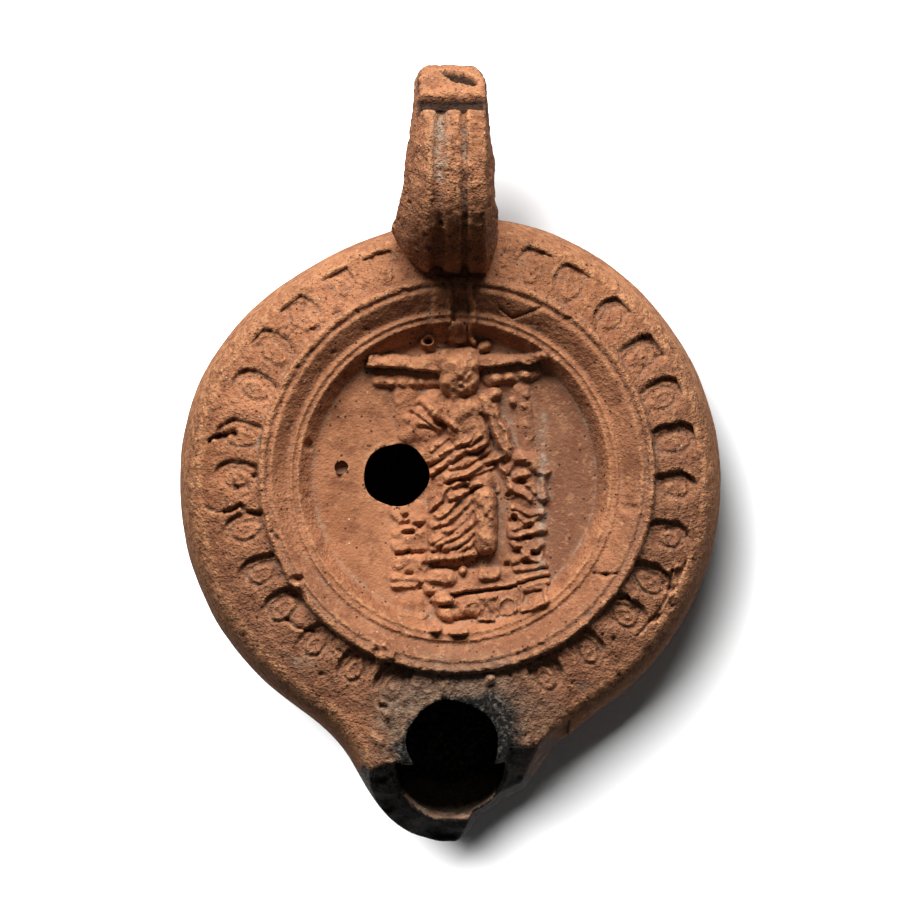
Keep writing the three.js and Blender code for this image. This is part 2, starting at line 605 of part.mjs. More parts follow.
function lampSolid() {
  const raisedClay = [...throne(), ...figure(), ...mantle(), ...footstool()];
  const stamps = stampBearings.map(stamp);
  const join = (whole, piece) => whole.add(piece);
  const cut = (whole, piece) => whole.subtract(piece);
  const body = stamps.map(({ sunk }) => sunk).reduce(cut, solidOf(outerSkin()));
  const relief = raisedClay.reduce(join);
  const eggs = stamps.map(({ egg }) => egg).reduce(join);
  return [
    solidOf(chamberSkin()),
    drill(FILL_HOLE_RADIUS, FILL_HOLE_X, FILL_HOLE_Y, WIDEST_HEIGHT, aboveEverything),
    drill(WICK_HOLE_RADIUS, wickHoleX, -wickHoleReach, WIDEST_HEIGHT, aboveEverything),
    drill(VENT_RADIUS, VENT_X, VENT_Y, discusHeight + DISCUS_DISH / 2 - VENT_DEPTH, aboveEverything),
    lostClay(),
    handleChip(),
  ].reduce(cut, body.add(eggs).add(relief).add(handleRing()));
}

// The finished solid as a three.js geometry.
function geometryOf(solid) {
  const mesh = solid.getMesh();
  const geometry = new THREE.BufferGeometry();
  geometry.setAttribute("position", new THREE.BufferAttribute(mesh.vertProperties, 3));
  geometry.setIndex(new THREE.BufferAttribute(mesh.triVerts, 1));
  geometry.computeVertexNormals();
  return geometry;
}

const firedClay = new THREE.MeshStandardMaterial({ color: 0xb06a45, roughness: 0.88, metalness: 0 });
const lamp = new THREE.Mesh(geometryOf(lampSolid()), firedClay);
lamp.name = "lamp";

const group = new THREE.Group();
group.name = "oil_lamp";
group.add(lamp);

export default group;
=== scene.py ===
# %% [markdown]
# ## A Roman oil lamp of fired clay
#
# The lamp was pressed in a two-part mould, so it is one hollow piece of clay: a low round body, a dished
# discus with a small enthroned figure, a shoulder stamped with ovolos, a ring handle and a short nozzle
# whose front has broken away. It could be sculpted by hand, or built as a turned form with carving laid
# over it. The second way is used here, because every form then keeps a name and a size in millimetres.

import itertools
import json
import math

import bmesh
import bpy
import numpy as np
from mathutils import Matrix, Vector

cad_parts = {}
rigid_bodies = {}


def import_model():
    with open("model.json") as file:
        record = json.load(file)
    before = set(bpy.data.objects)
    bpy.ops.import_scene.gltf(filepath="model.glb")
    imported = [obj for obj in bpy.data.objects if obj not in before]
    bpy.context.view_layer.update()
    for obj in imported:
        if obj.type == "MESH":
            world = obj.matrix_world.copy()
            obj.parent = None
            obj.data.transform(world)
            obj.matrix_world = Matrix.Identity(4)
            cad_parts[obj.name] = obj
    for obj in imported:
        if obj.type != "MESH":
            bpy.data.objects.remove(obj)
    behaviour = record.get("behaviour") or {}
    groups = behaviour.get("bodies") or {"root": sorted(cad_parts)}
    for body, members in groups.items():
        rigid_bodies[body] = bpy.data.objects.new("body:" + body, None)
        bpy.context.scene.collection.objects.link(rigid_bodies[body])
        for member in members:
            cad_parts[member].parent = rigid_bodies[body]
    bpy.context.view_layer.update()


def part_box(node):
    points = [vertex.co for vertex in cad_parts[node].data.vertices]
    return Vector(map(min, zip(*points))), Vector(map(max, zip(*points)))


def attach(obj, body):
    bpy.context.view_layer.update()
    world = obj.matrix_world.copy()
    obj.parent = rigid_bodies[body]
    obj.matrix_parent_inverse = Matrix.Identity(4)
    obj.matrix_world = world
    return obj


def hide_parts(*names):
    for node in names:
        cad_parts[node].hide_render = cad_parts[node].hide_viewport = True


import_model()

MM = 0.001
TAU = 2 * math.pi

# %% [markdown]
# ### The lamp's sizes
#
# A maker would think in these numbers: how wide the discus is, how far the shoulder stands out, how thick
# the wall is. The width of the body is read from the frame, and the rest are the driving sizes of the
# lamp. Everything is modelled in millimetres and brought to metres at the end.

# %% Sizes in millimetres
lamp_low, lamp_high = (np.array(corner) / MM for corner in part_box("lamp"))

SIDE_SHIFT = np.array([-1.0, -1.3])  # the side came from a mould half that was set slightly off
DENT_DEPTH = 1.9  # the side is pressed flat beside the handle's left root
DENT_BEARING = math.radians(208)  # round from the nozzle
DENT_HALF_ANGLE = math.radians(50)
body_radius = (lamp_high[0] - lamp_low[0]) / 2
DISCUS_RADIUS = 22.4
RIM_RADIUS = 28.3
RIM_FOOT_RADIUS = 28.6
SHOULDER_RADIUS = 35.6
BASE_RADIUS = 20.6
BASE_EDGE_RADIUS = 21.4
BASE_EDGE_HEIGHT = 1.3
BASE_GROOVE_WIDTH = 1.8
BASE_GROOVE_DEPTH = 0.6
WIDEST_HEIGHT = 14.5
SHOULDER_EDGE_HEIGHT = 24.6
RIM_FOOT_HEIGHT = 26.6
RIM_HEIGHT = 27.8
DISCUS_HEIGHT = 22.0  # at the middle of its floor
DISCUS_EDGE_HEIGHT = 23.5
WALL = 4.0
NOZZLE_RADIUS = 11.7
NOZZLE_TOP_INSET = 1.9
NOZZLE_CENTRE = 41.8
NOZZLE_X = -1.0
NOZZLE_BLEND = 12.0
KEEL_RADIUS = 9.6
KEEL_CENTRE = 10.7

# Holes: x, y and radius.
FILL_HOLE = (-8.7, 0.0, 4.6)
WICK_HOLE = (-0.6, -38.6, 6.55)
VENT_PRICK = (-16.6, 1.1, 0.95)
VENT_BOTTOM = 22.1

print(f"body radius from the frame: {body_radius:.2f} mm")


# %% Small helpers for arrays
def lerp(a, b, t):
    return a + (b - a) * t


def smoothstep(low, high, value):
    t = np.clip((value - low) / (high - low), 0, 1)
    return t * t * (3 - 2 * t)


def smooth_max(a, b, size):
    """The larger of two heights, with the crease between them filled by about a quarter of size."""
    near = np.maximum(size - np.abs(a - b), 0) / size
    return np.maximum(a, b) + near * near * size / 4


def noise(points, lump, seed):
    """Smooth noise from -1 to 1 on an array of points, with lumps this many millimetres apart."""
    grid = points / lump + seed * 7.31
    cell = np.floor(grid).astype(np.int64)
    part = grid - cell
    part = part * part * (3 - 2 * part)
    total = np.zeros(len(points))
    for corner in itertools.product((0, 1), repeat=points.shape[1]):
        key = (cell + corner) @ np.array([374761393, 668265263, 1274126177])[: points.shape[1]]
        key = ((key + seed * 144665) ^ (key >> 13)) & 0xFFFFFFFF
        key = (key * 1274126177) & 0xFFFFFFFF
        value = ((key ^ (key >> 16)) & 0xFFFF) / 0x7FFF - 1
        total += value * np.prod(np.where(corner, part, 1 - part), axis=1)
    return total


# %% [markdown]
# ### The turned body
#
# The mould for such a lamp was cut from a turned block, so the body starts as a spin: a profile turned
# about the discus axis. The nozzle grows out of it, so each level of the turned form is then pulled out to
# its own outline, a circle smoothly joined to the nozzle's circle. One mesh carries the body, nozzle,
# shoulder, rim and discus without a seam.

# %% Outline of a level
OUTLINE_HALVINGS = 30


def outline_reach(body, nozzle, centre, shift, bearing):
    """Distance from the discus axis to the outline on each bearing, counted from the nozzle."""
    aside = (bearing - DENT_BEARING + math.pi) % TAU - math.pi
    pressed = np.cos(np.clip(aside / DENT_HALF_ANGLE, -1, 1) * math.pi / 2) ** 2
    dent = shift * DENT_DEPTH * pressed * (body / body_radius) ** 2
    direction = np.stack([np.sin(bearing), -np.cos(bearing)], -1)
    inside = np.broadcast_to(body / 2, bearing.shape).copy()
    outside = np.broadcast_to(body + centre + nozzle, bearing.shape).copy()
    for _ in range(OUTLINE_HALVINGS):
        middle = (inside + outside) / 2
        point = direction * middle[..., None]
        to_body = np.linalg.norm(point - SIDE_SHIFT * shift[..., None], axis=-1) - body + dent
        to_nozzle = np.hypot(point[..., 0] - NOZZLE_X, point[..., 1] + centre) - nozzle
        near = np.maximum(NOZZLE_BLEND - np.abs(to_body - to_nozzle), 0) / NOZZLE_BLEND
        blended = np.minimum(to_body, to_nozzle) - near * near * NOZZLE_BLEND / 4
        distance = np.where(nozzle > 0, blended, to_body)
        outside = np.where(distance > 0, middle, outside)
        inside = np.where(distance > 0, inside, middle)
    return inside


# %% Levels of the outer skin
def level(body, height, nozzle=0.0, centre=0.0, shift=1.0, sweep=0.0):
    """One ring of the skin. sweep is how much of the shoulder edge's outline it takes on."""
    return (body, height, nozzle, centre, shift, sweep)


def side_levels(low, low_height, inset, edge_height, count):
    """From the base's edge to the widest level and on up to the shoulder's edge."""
    nozzle = NOZZLE_RADIUS - inset
    wide = body_radius - inset
    rings = []
    for t in np.linspace(0, 1, count):
        swing = t * TAU / 4
        body = lerp(low, wide, math.sin(swing))
        height = lerp(WIDEST_HEIGHT, low_height, math.cos(swing))
        centre = lerp(KEEL_CENTRE - inset / 2, NOZZLE_CENTRE, math.sin(swing))
        rings.append(level(body, height, lerp(KEEL_RADIUS - inset / 2, nozzle, t), centre))
    for t in np.linspace(0, 1, count // 2 + 1)[1:]:
        swing = t * TAU / 4
        body = lerp(SHOULDER_RADIUS - inset, wide, math.cos(swing))
        height = lerp(WIDEST_HEIGHT, edge_height, math.sin(swing))
        top = lerp(nozzle - NOZZLE_TOP_INSET, nozzle, math.cos(swing))
        shift = float(smoothstep(RIM_RADIUS, body_radius, body))
        rings.append(level(body, height, top, NOZZLE_CENTRE, shift))
    return rings


# The discus floor, then the rim and ridges from the rim's foot in to it, as radius and height.
DISCUS_FLOOR = [(20.4, 23.4), (11.2, 22.4), (5.0, 22.05), (0.0, DISCUS_HEIGHT)]
RIM_PROFILE = [
    (RIM_FOOT_RADIUS, RIM_FOOT_HEIGHT),
    (RIM_RADIUS, 27.55),
    (28.0, RIM_HEIGHT),
    (27.6, RIM_HEIGHT),
    (27.1, 27.25),
    (26.5, 27.6),
    (24.1, 25.95),
    (23.7, 25.9),
    (23.35, 26.3),
    (22.85, 25.8),
    (22.3, 26.05),
    (21.7, 25.2),
]
RING_STEP = 0.2
RIM_SAMPLES = 2000  # the profile's corners are worn at this fineness
RIM_WEAR = 20  # samples that the wear reaches to each side
RIDGE_SHIFT = (-0.4, -0.3)  # the thin ridges were cut slightly off centre
RIDGE_LOWEST = 22.5
RIDGE_INNER = (18.0, 21.0)  # radii over which that shift comes in, and goes out again
RIDGE_OUTER = (24.5, 27.0)
SHOULDER_RINGS = 34
SHOULDER_SWELL = 1.25  # above 1 the shoulder is rounded, not a plain cone


def discus_floor(radius):
    """Height of the dished floor, without its relief, at a distance from the discus axis."""
    radii, heights = np.array(DISCUS_FLOOR[::-1]).T
    return np.interp(radius, radii, heights)


def rim_levels():
    """The rim profile resampled in short steps, its corners slightly worn."""
    radii, heights = np.array(RIM_PROFILE + DISCUS_FLOOR).T
    count = int(radii[0] / RING_STEP)
    body = np.linspace(radii[0], 0, count)
    fine = np.linspace(0, radii[0], RIM_SAMPLES)
    height = np.interp(fine, radii[::-1], heights[::-1])
    wear = np.exp(-0.5 * (np.linspace(-3, 3, 2 * RIM_WEAR + 1)) ** 2)
    height = np.convolve(np.pad(height, RIM_WEAR, mode="edge"), wear / wear.sum(), "valid")
    return [level(r, h, shift=0.0) for r, h in zip(body, np.interp(body, fine, height))]


def outer_levels():
    """Every level from the middle of the base up the side and in to the middle of the discus."""
    groove = BASE_RADIUS - 1.5 * BASE_GROOVE_WIDTH
    base = [level(r, 0.0) for r in (0.0, 6.0, 12.0, groove - 0.9)]
    base += [level(groove - 0.45, 0.42), level(groove, BASE_GROOVE_DEPTH), level(groove + 0.45, 0.42)]
    base += [level(groove + 0.9, 0.0), level(19.8, 0.0), level(BASE_RADIUS, 0.12)]
    side = side_levels(BASE_EDGE_RADIUS, BASE_EDGE_HEIGHT, 0.0, SHOULDER_EDGE_HEIGHT, 24)
    shoulder = []
    for t in np.linspace(1, 0, SHOULDER_RINGS)[1:-1]:
        height = lerp(RIM_FOOT_HEIGHT, SHOULDER_EDGE_HEIGHT, t ** SHOULDER_SWELL)
        shoulder.append(level(lerp(RIM_FOOT_RADIUS, SHOULDER_RADIUS, t), height, shift=0.0, sweep=t))
    return base + side + shoulder + rim_levels(), len(base) + len(side)


# %% Spin the levels and pull them out to their outlines
BODY_STEPS = 760
BODY_FOCUS = 0.16  # how much the steps crowd towards the nozzle
SAME_PLACE = 1e-4


def spin(bm, section, axis, steps):
    """Spins a section all the way round an axis through the origin."""
    bmesh.ops.spin(bm, geom=section, axis=axis, cent=(0, 0, 0), angle=TAU, steps=steps, use_merge=True)


def turned_skin(levels, steps, focus):
    """A closed bmesh spun from the levels' profile, each vertex then moved to its level's outline."""
    bm = bmesh.new()
    mark = bm.verts.layers.int.new("level")
    profile = [bm.verts.new((ring[0], 0, ring[1])) for ring in levels]
    for number, vertex in enumerate(profile):
        vertex[mark] = number
    edges = [bm.edges.new(pair) for pair in itertools.pairwise(profile)]
    spin(bm, profile + edges, (0, 0, 1), steps)
    bmesh.ops.remove_doubles(bm, verts=bm.verts, dist=SAME_PLACE)
    rings = np.array([vertex[mark] for vertex in bm.verts])
    points = np.array([vertex.co for vertex in bm.verts])
    turn = np.arctan2(points[:, 0], -points[:, 1])
    bearing = turn - focus * np.sin(turn)
    body, height, nozzle, centre, shift, sweep = np.array(levels)[rings].T
    reach = np.where(body > 0, outline_reach(body, nozzle, centre, shift, bearing), 0)
    edge_sizes = (SHOULDER_RADIUS, NOZZLE_RADIUS - NOZZLE_TOP_INSET, NOZZLE_CENTRE)
    edge = [np.full(len(bearing), size) for size in edge_sizes]
    edge_shift = smoothstep(RIM_RADIUS, body_radius, edge[0])
    edge_reach = outline_reach(edge[0], edge[1], edge[2], edge_shift, bearing)
    reach = np.where(sweep > 0, lerp(RIM_FOOT_RADIUS, edge_reach, sweep), reach)
    moved = np.stack([reach * np.sin(bearing), -reach * np.cos(bearing), height], -1)
    ridged = (height > RIDGE_LOWEST) * smoothstep(*RIDGE_INNER, reach) * (1 - smoothstep(*RIDGE_OUTER, reach))
    moved[:, :2] += ridged[:, None] * np.array(RIDGE_SHIFT)
    for vertex, place in zip(bm.verts, moved):
        vertex.co = place
    bmesh.ops.recalc_face_normals(bm, faces=bm.faces)
    return bm, rings, moved


body_rings, first_top_ring = outer_levels()
body_bm, body_level, body_points = turned_skin(body_rings, BODY_STEPS, BODY_FOCUS)
print(f"body: {len(body_rings)} rings, {len(body_bm.verts)} vertices")

# %% [markdown]
# ### Ovolo stamps
#
# The shoulder was decorated by pressing one small stamp again and again: a sunk oval, open towards the
# rim, with faint ridges that follow its outline and an egg in the middle. Each could be a mesh of its own,
# but in the clay they are only dents, so they are pressed into the turned surface by moving its vertices.
# The stamp was held a little askew, so each dent is steep and deep on the side of the handle and runs out
# softly on the other. No two are alike: each has its own place, turn and strength, from a seeded draw.

# %% Press the stamps
STAMP_HALF_WIDTH = 2.85
STAMP_START = 28.5
STAMP_LENGTH = 6.8
STAMP_MIDDLE = 3.2  # out to here the sides are nearly straight
STAMP_TAPER = 5.5  # how far in from there they would take to close
STAMP_BEARINGS = [70 - 12.3 * i for i in range(12)] + [110 + 12 * i for i in range(13)]
STAMP_STEEP = 0.3  # how wide the steep wall is, and the soft one
STAMP_SOFT = 1.5
STAMP_RIDGE = 0.95  # from one faint ridge to the next
STAMP_RIDGE_RISE = 0.15
STAMP_EGG_RISE = 0.3
STAMP_SHALLOW = 0.25  # the floor's depth on the nozzle's side, and on the handle's
STAMP_DEEP = 0.85
STAMP_DRAW = 7  # the seed of the stamps' draw


def stamp_depths(x, y):
    """Depth of the stamps at points of the shoulder, in millimetres, negative where sunk."""
    depth = np.zeros(len(x))
    draw = np.random.default_rng(STAMP_DRAW)
    waver = 0.14 * noise(np.stack([x, y], -1), 1.6, 45) + 0.1 * noise(np.stack([x, y], -1), 0.6, 46)
    for degrees in STAMP_BEARINGS:
        turn = math.radians(degrees + draw.uniform(-0.9, 0.9))
        lean = draw.uniform(-0.08, 0.08)
        size = draw.uniform(0.93, 1.06)
        out = x * math.cos(turn) + y * math.sin(turn) - STAMP_START - draw.uniform(-0.15, 0.3)
        across = -x * math.sin(turn) + y * math.cos(turn) + lean * out
        end_length = np.where(out > STAMP_MIDDLE, STAMP_LENGTH - STAMP_MIDDLE, STAMP_TAPER)
        round_end = (out - STAMP_MIDDLE) / end_length
        inside = STAMP_HALF_WIDTH * (size - np.hypot(across / STAMP_HALF_WIDTH, round_end)) + waver
        inside = np.where(out > -0.2, inside, -1)
        upward = across * math.cos(turn) + (out - STAMP_LENGTH / 2) * math.sin(turn)
        upper = smoothstep(-2.4, 2.6, upward)
        right = math.exp(-(((degrees - 12) / 42) ** 2))
        strength = draw.uniform(0.8, 1.05) + 0.45 * right
        wall = smoothstep(0, lerp(STAMP_SOFT, STAMP_STEEP, upper), inside)
        floor = -lerp(STAMP_SHALLOW, STAMP_DEEP, upper) * strength
        ribs = STAMP_RIDGE_RISE * np.cos(inside * TAU / STAMP_RIDGE) * smoothstep(0.5, 1.0, inside)
        egg = STAMP_EGG_RISE * smoothstep(1.1, 2.6, inside)
        depth = np.where(inside > 0, wall * (floor + ribs + egg), depth)
    return depth


# %% [markdown]
# ### Relief on the discus
#
# A figure sits facing us on a high-backed throne, feet on a footstool. On the real lamp it is pressed clay
# a couple of millimetres high, softened by wear. It is modelled as a sculptor would block it in: rounded
# ridges of clay laid from point to point, then folds drawn over them. Places and widths are hundredths of
# the discus radius, x to the right and y towards the handle, and so are the heights.

# %% Ridges, lumps and folds of clay
class Clay:
    """Clay raised on the discus at the points x, y."""

    def __init__(self, x, y):
        # Hand-cut lines are never straight, so the drawing is nudged about a little.
        places = np.stack([x, y], -1)
        self.x = x + 1.4 * noise(places, 8.0, 31) + 0.35 * noise(places, 3.5, 32)
        self.y = y + 1.4 * noise(places, 8.0, 33) + 0.35 * noise(places, 3.5, 34)
        self.height = np.zeros(len(x))

    def ridge_form(self, start, end, width, end_width, lean):
        """1 on the crest between two points, falling to 0 at the width. The crest leans nozzlewards."""
        ax, ay = start
        dx, dy = end[0] - ax, end[1] - ay
        length = max(math.hypot(dx, dy), 1e-6)
        along = ((self.x - ax) * dx + (self.y - ay) * dy) / length
        across = (dx * (self.y - ay) - dy * (self.x - ax)) / length
        t = np.clip(along / length, 0, 1)
        half = lerp(width, end_width, t)
        shift = -lean * dx / length
        side = across / half
        side = np.where(side > shift, (side - shift) / (1 - shift), (shift - side) / (1 + shift))
        beyond = (along - t * length) / half
        return np.maximum(1 - side * side - beyond * beyond, 0)

    def ridge(self, start, end, width, height, end_width=None, merge=1.5, power=0.8, lean=0.3):
        """A rounded ridge between two points, joined softly to what is there."""
        form = height * self.ridge_form(start, end, width, end_width or width, lean) ** power
        self.height = np.where(form > 0, smooth_max(self.height, form, merge), self.height)

    def lump(self, centre, half_length, half_width, height, bearing=0, merge=1.5, power=0.75):
        """An oval lump, its long way on a bearing."""
        turn = math.radians(bearing)
        reach = max(half_length - half_width, 0.01)
        step = (reach * math.cos(turn), reach * math.sin(turn))
        start = (centre[0] - step[0], centre[1] - step[1])
        end = (centre[0] + step[0], centre[1] + step[1])
        self.ridge(start, end, half_width, height, merge=merge, power=power, lean=0.2)

    def fold(self, start, end, width, height, end_width=None, sag=0.0, lean=0.35):
        """Clay raised along a curve on what is there, or pressed in where height is negative."""
        along = np.linspace(0, 1, 7)
        across = np.array([start[1] - end[1], end[0] - start[0]])
        across = across / np.linalg.norm(across) * sag
        places = np.array([lerp(np.array(start), np.array(end), t) + 4 * t * (1 - t) * across for t in along])
        widths = lerp(width, end_width or width, along)
        form = np.zeros(len(self.x))
        for (a, b), (w0, w1) in zip(itertools.pairwise(places), itertools.pairwise(widths)):
            form = np.maximum(form, self.ridge_form(a, b, w0 * 1.2, w1 * 1.2, lean) ** 1.4)
        self.height = np.maximum(self.height + height * form, -2.5)

    def arc(self, centre, radius, first, last, width, height, pieces=8):
        """A ridge along part of a circle, in degrees."""
        turns = np.radians(np.linspace(first, last, pieces + 1))
        points = [(centre[0] + radius * math.cos(a), centre[1] + radius * math.sin(a)) for a in turns]
        for a, b in itertools.pairwise(points):
            self.ridge(a, b, width, height, merge=0.4)


# %% The throne
def model_throne(clay):
    # Back: two cornices like wings, a course of worn dentils under each, and a post below each.
    clay.ridge((-48, 62), (-16, 62), 6.5, 3.0, power=0.6)
    clay.ridge((22, 65), (48, 67), 7, 3.0, power=0.6)
    clay.ridge((-55, 73.0), (-12, 71.2), 3.6, 8.6, end_width=5.8, power=0.7, lean=0.75)
    clay.ridge((14, 73.0), (56, 75.4), 5.6, 8.6, end_width=2.8, power=0.7, lean=0.75)
    for x, y, size, height in (
        (-43, 60, 4.0, 5.2),
        (-36, 59.5, 3.4, 4.6),
        (-29, 59.6, 3.2, 4.8),
        (-22, 59.6, 3.4, 4.8),
        (26, 63.0, 4.8, 6.6),
        (34.5, 63.4, 4.0, 5.8),
        (43.5, 65.0, 4.6, 6.6),
    ):
        clay.lump((x, y), size, size * 0.9, height)
    clay.ridge((-34, 52), (-32, 28), 7.5, 2.6, power=0.6)
    clay.ridge((42, 55), (45, 16), 5.6, 2.6, power=0.6)
    for x, y, size, height in (
        (-31.6, 36.5, 4.6, 4.2),
        (-37, 47, 3.6, 3.4),
        (-28, 46, 3.4, 3.2),
        (-30, 29, 3.6, 3.2),
        (36.5, 47.5, 3.4, 4.6),
        (43, 44.5, 3.6, 4.4),
        (45.5, 52, 3.2, 3.8),
        (44.5, 33, 3.4, 3.4),
        (46.5, 24, 3.2, 3.2),
    ):
        clay.lump((x, y), size, size * 0.85, height, bearing=7 * x)
    # Right arm of the seat, a broad volute over worn scrolls.
    clay.ridge((43, 0), (45, -14), 11.5, 3.6, power=0.5)
    for start, end, width, height in (
        ((33, 4), (38, 11), 4.6, 6.4),
        ((38, 11), (48, 11), 4.8, 8.0),
        ((48, 11), (55, 1), 5.0, 7.6),
        ((55, 1), (54, -14), 4.2, 6.0),
        ((37, -1), (45, 2.5), 3.4, 7.2),
        ((35, -7), (46, -14), 3.4, 6.8),
        ((46, -6), (50, -10), 3.2, 6.4),
    ):
        clay.ridge(start, end, width, height)
    # Sides of the seat: crossed straps between bars, crisper on the right, with pits where clay has gone.
    clay.ridge((45, -24), (46, -60), 10.8, 2.6, power=0.5)
    clay.ridge((-30, -26), (-31, -66), 10.8, 2.6, power=0.5)
    for start, end, width, height in (
        ((36, -21.5), (54, -25), 2.8, 5.4),
        ((38, -26), (52, -33.5), 3.0, 5.0),
        ((38, -33), (52, -27), 3.0, 4.8),
        ((37, -38.2), (54, -35.2), 3.4, 5.8),
        ((37, -43.5), (53, -55), 3.0, 5.2),
        ((36, -55), (53, -44.5), 3.0, 5.0),
        ((37, -60.5), (56, -57.5), 2.6, 4.8),
        ((38.5, -67.6), (57, -63.0), 2.6, 5.6),
        ((35, -24), (35, -38), 2.4, 3.6),
        ((-39, -26), (-23, -37), 3.8, 3.6),
        ((-38, -38), (-22, -28), 3.8, 3.4),
        ((-39, -45), (-23, -57), 3.8, 3.6),
        ((-39, -57), (-23, -47), 3.8, 3.4),
        ((-40, -65), (-22, -67), 3.0, 3.4),
    ):
        clay.ridge(start, end, width, height)
    for x, y in (
        (36.4, -29.5),
        (45.5, -32.8),
        (45.5, -40.8),
        (38.5, -49.6),
        (51.0, -50.0),
        (45.0, -55.5),
        (-33, -30.0),
        (-24.3, -31.5),
        (-31.0, -36.5),
        (-31.0, -50.0),
        (-25.0, -50.4),
        (-36.5, -50.5),
        (-31.0, -63.0),
    ):
        clay.lump((x, y), 2.2, 1.6, 0.1, bearing=11 * x)
        clay.fold((x - 1.4, y), (x + 1.4, y), 2.2, -4.0, lean=0)
    # Under the seat: two mouldings, then a framed square on the right and faint lines on the left.
    clay.ridge((39.5, -73), (57, -68.6), 2.4, 5.2)
    clay.ridge((-40, -71.5), (-20, -72), 2.4, 3.6)
    clay.ridge((48.5, -78), (48.5, -80), 7.0, 2.6, power=0.5)
    corners = [(40.5, -74.5), (55, -71.5), (57.5, -81.2), (42, -85.6)]
    for a, b in itertools.pairwise(corners + corners[:1]):
        clay.ridge(a, b, 2.2, 5.0)
    clay.lump((48.5, -78.4), 4.0, 3.4, 4.0)
    clay.ridge((-28, -82), (-28, -88), 7.5, 2.0, power=0.5)
    clay.ridge((-35, -88.5), (-21, -91), 2.2, 3.4)


# %% The seated figure
def model_figure(clay):
    # The tall headdress runs up over the rim to the foot of the handle.
    clay.ridge((-10.5, 92), (-10.5, 122), 6.0, 3.4, power=0.5)
    clay.ridge((-5.3, 98), (-5.3, 122), 2.4, 4.6)
    clay.ridge((9.6, 86), (8.8, 122), 2.3, 5.6)
    clay.lump((-0.3, 91.4), 7.8, 7.4, 8.6, merge=0.3, power=0.4)
    clay.lump((-0.3, 91.4), 4.4, 4.0, 9.6, merge=0.3)
    clay.lump((-18.4, 85.6), 5.4, 5.0, 6.4)
    clay.fold((-18.6, 86.0), (-18.2, 86.0), 2.6, -7.0, lean=0)
    clay.lump((16.5, 83), 5, 4.2, 5.4)
    # Head: a thick cap of hair round a plain oval face, worn almost smooth.
    clay.ridge((-6.5, 72.0), (8.0, 73.0), 9.4, 12.4, power=0.5)
    clay.lump((0.8, 64.0), 16.5, 13.4, 15.0, bearing=90, merge=3.0, power=0.45)
    clay.fold((-4.6, 66.6), (-3.2, 66.6), 1.9, -0.7, lean=0)
    clay.fold((4.8, 66.6), (6.2, 66.6), 1.9, -0.7, lean=0)
    clay.fold((0.9, 66.5), (0.9, 61.2), 2.0, 0.7, lean=0)
    clay.fold((-1.4, 56.6), (3.2, 56.6), 1.2, -0.5, lean=0)
    # Neck, bare chest and shoulders.
    clay.ridge((1, 48), (2, 42), 8.0, 7.4)
    clay.ridge((5, 39), (8, 28), 14.5, 10.4, end_width=14.5, power=0.35)
    clay.ridge((-13, 45), (-22, 34), 9.5, 6.4, end_width=8.5, power=0.7)
    clay.ridge((-21, 34), (-19, 14), 8.5, 6.6, end_width=6.5, power=0.7)
    clay.ridge((-17, 16), (4, 10), 9.0, 6.6, power=0.7)
    # The arm on the right, in a sleeve, with the hand at the shoulder.
    clay.ridge((19, 47), (33, 14), 7.6, 9.4, end_width=6.0)
    clay.fold((16, 38), (28, 13), 1.5, -3.6, lean=0)
    clay.fold((24.5, 45), (36, 17), 1.8, 2.2, lean=0)
    clay.fold((23.6, 38), (31, 18), 1.2, -1.4, lean=0)
    clay.lump((23.3, 52.0), 6.4, 5.0, 9.5, bearing=40, merge=0.6)
    clay.lump((17, 49), 4.0, 3.4, 9.0, merge=0.6)
    # The lap, the knee and shin in front, and the legs under the cloth.
    clay.ridge((-6, -2), (-6, -18), 13.5, 8.0, end_width=12, power=0.7)
    clay.ridge((8, 2), (17, -6), 10.0, 8.0, end_width=8.0, power=0.7)
    clay.ridge((18.2, -15.0), (18.4, -44), 8.4, 13.0, end_width=7.6, power=0.5)
    clay.ridge((-8, -19), (-9, -47), 11.5, 7.4, end_width=11, power=0.6)
    clay.ridge((4, -19), (3, -47), 11, 6.6, power=0.6)
    clay.ridge((-15, -65), (-5, -65.5), 6.0, 8.8, power=0.6)
    clay.ridge((17, -63.0), (24, -62.6), 4.8, 8.0, power=0.6)
    clay.lump((3.6, -60.8), 3.2, 3.0, 8.5, merge=0.4)


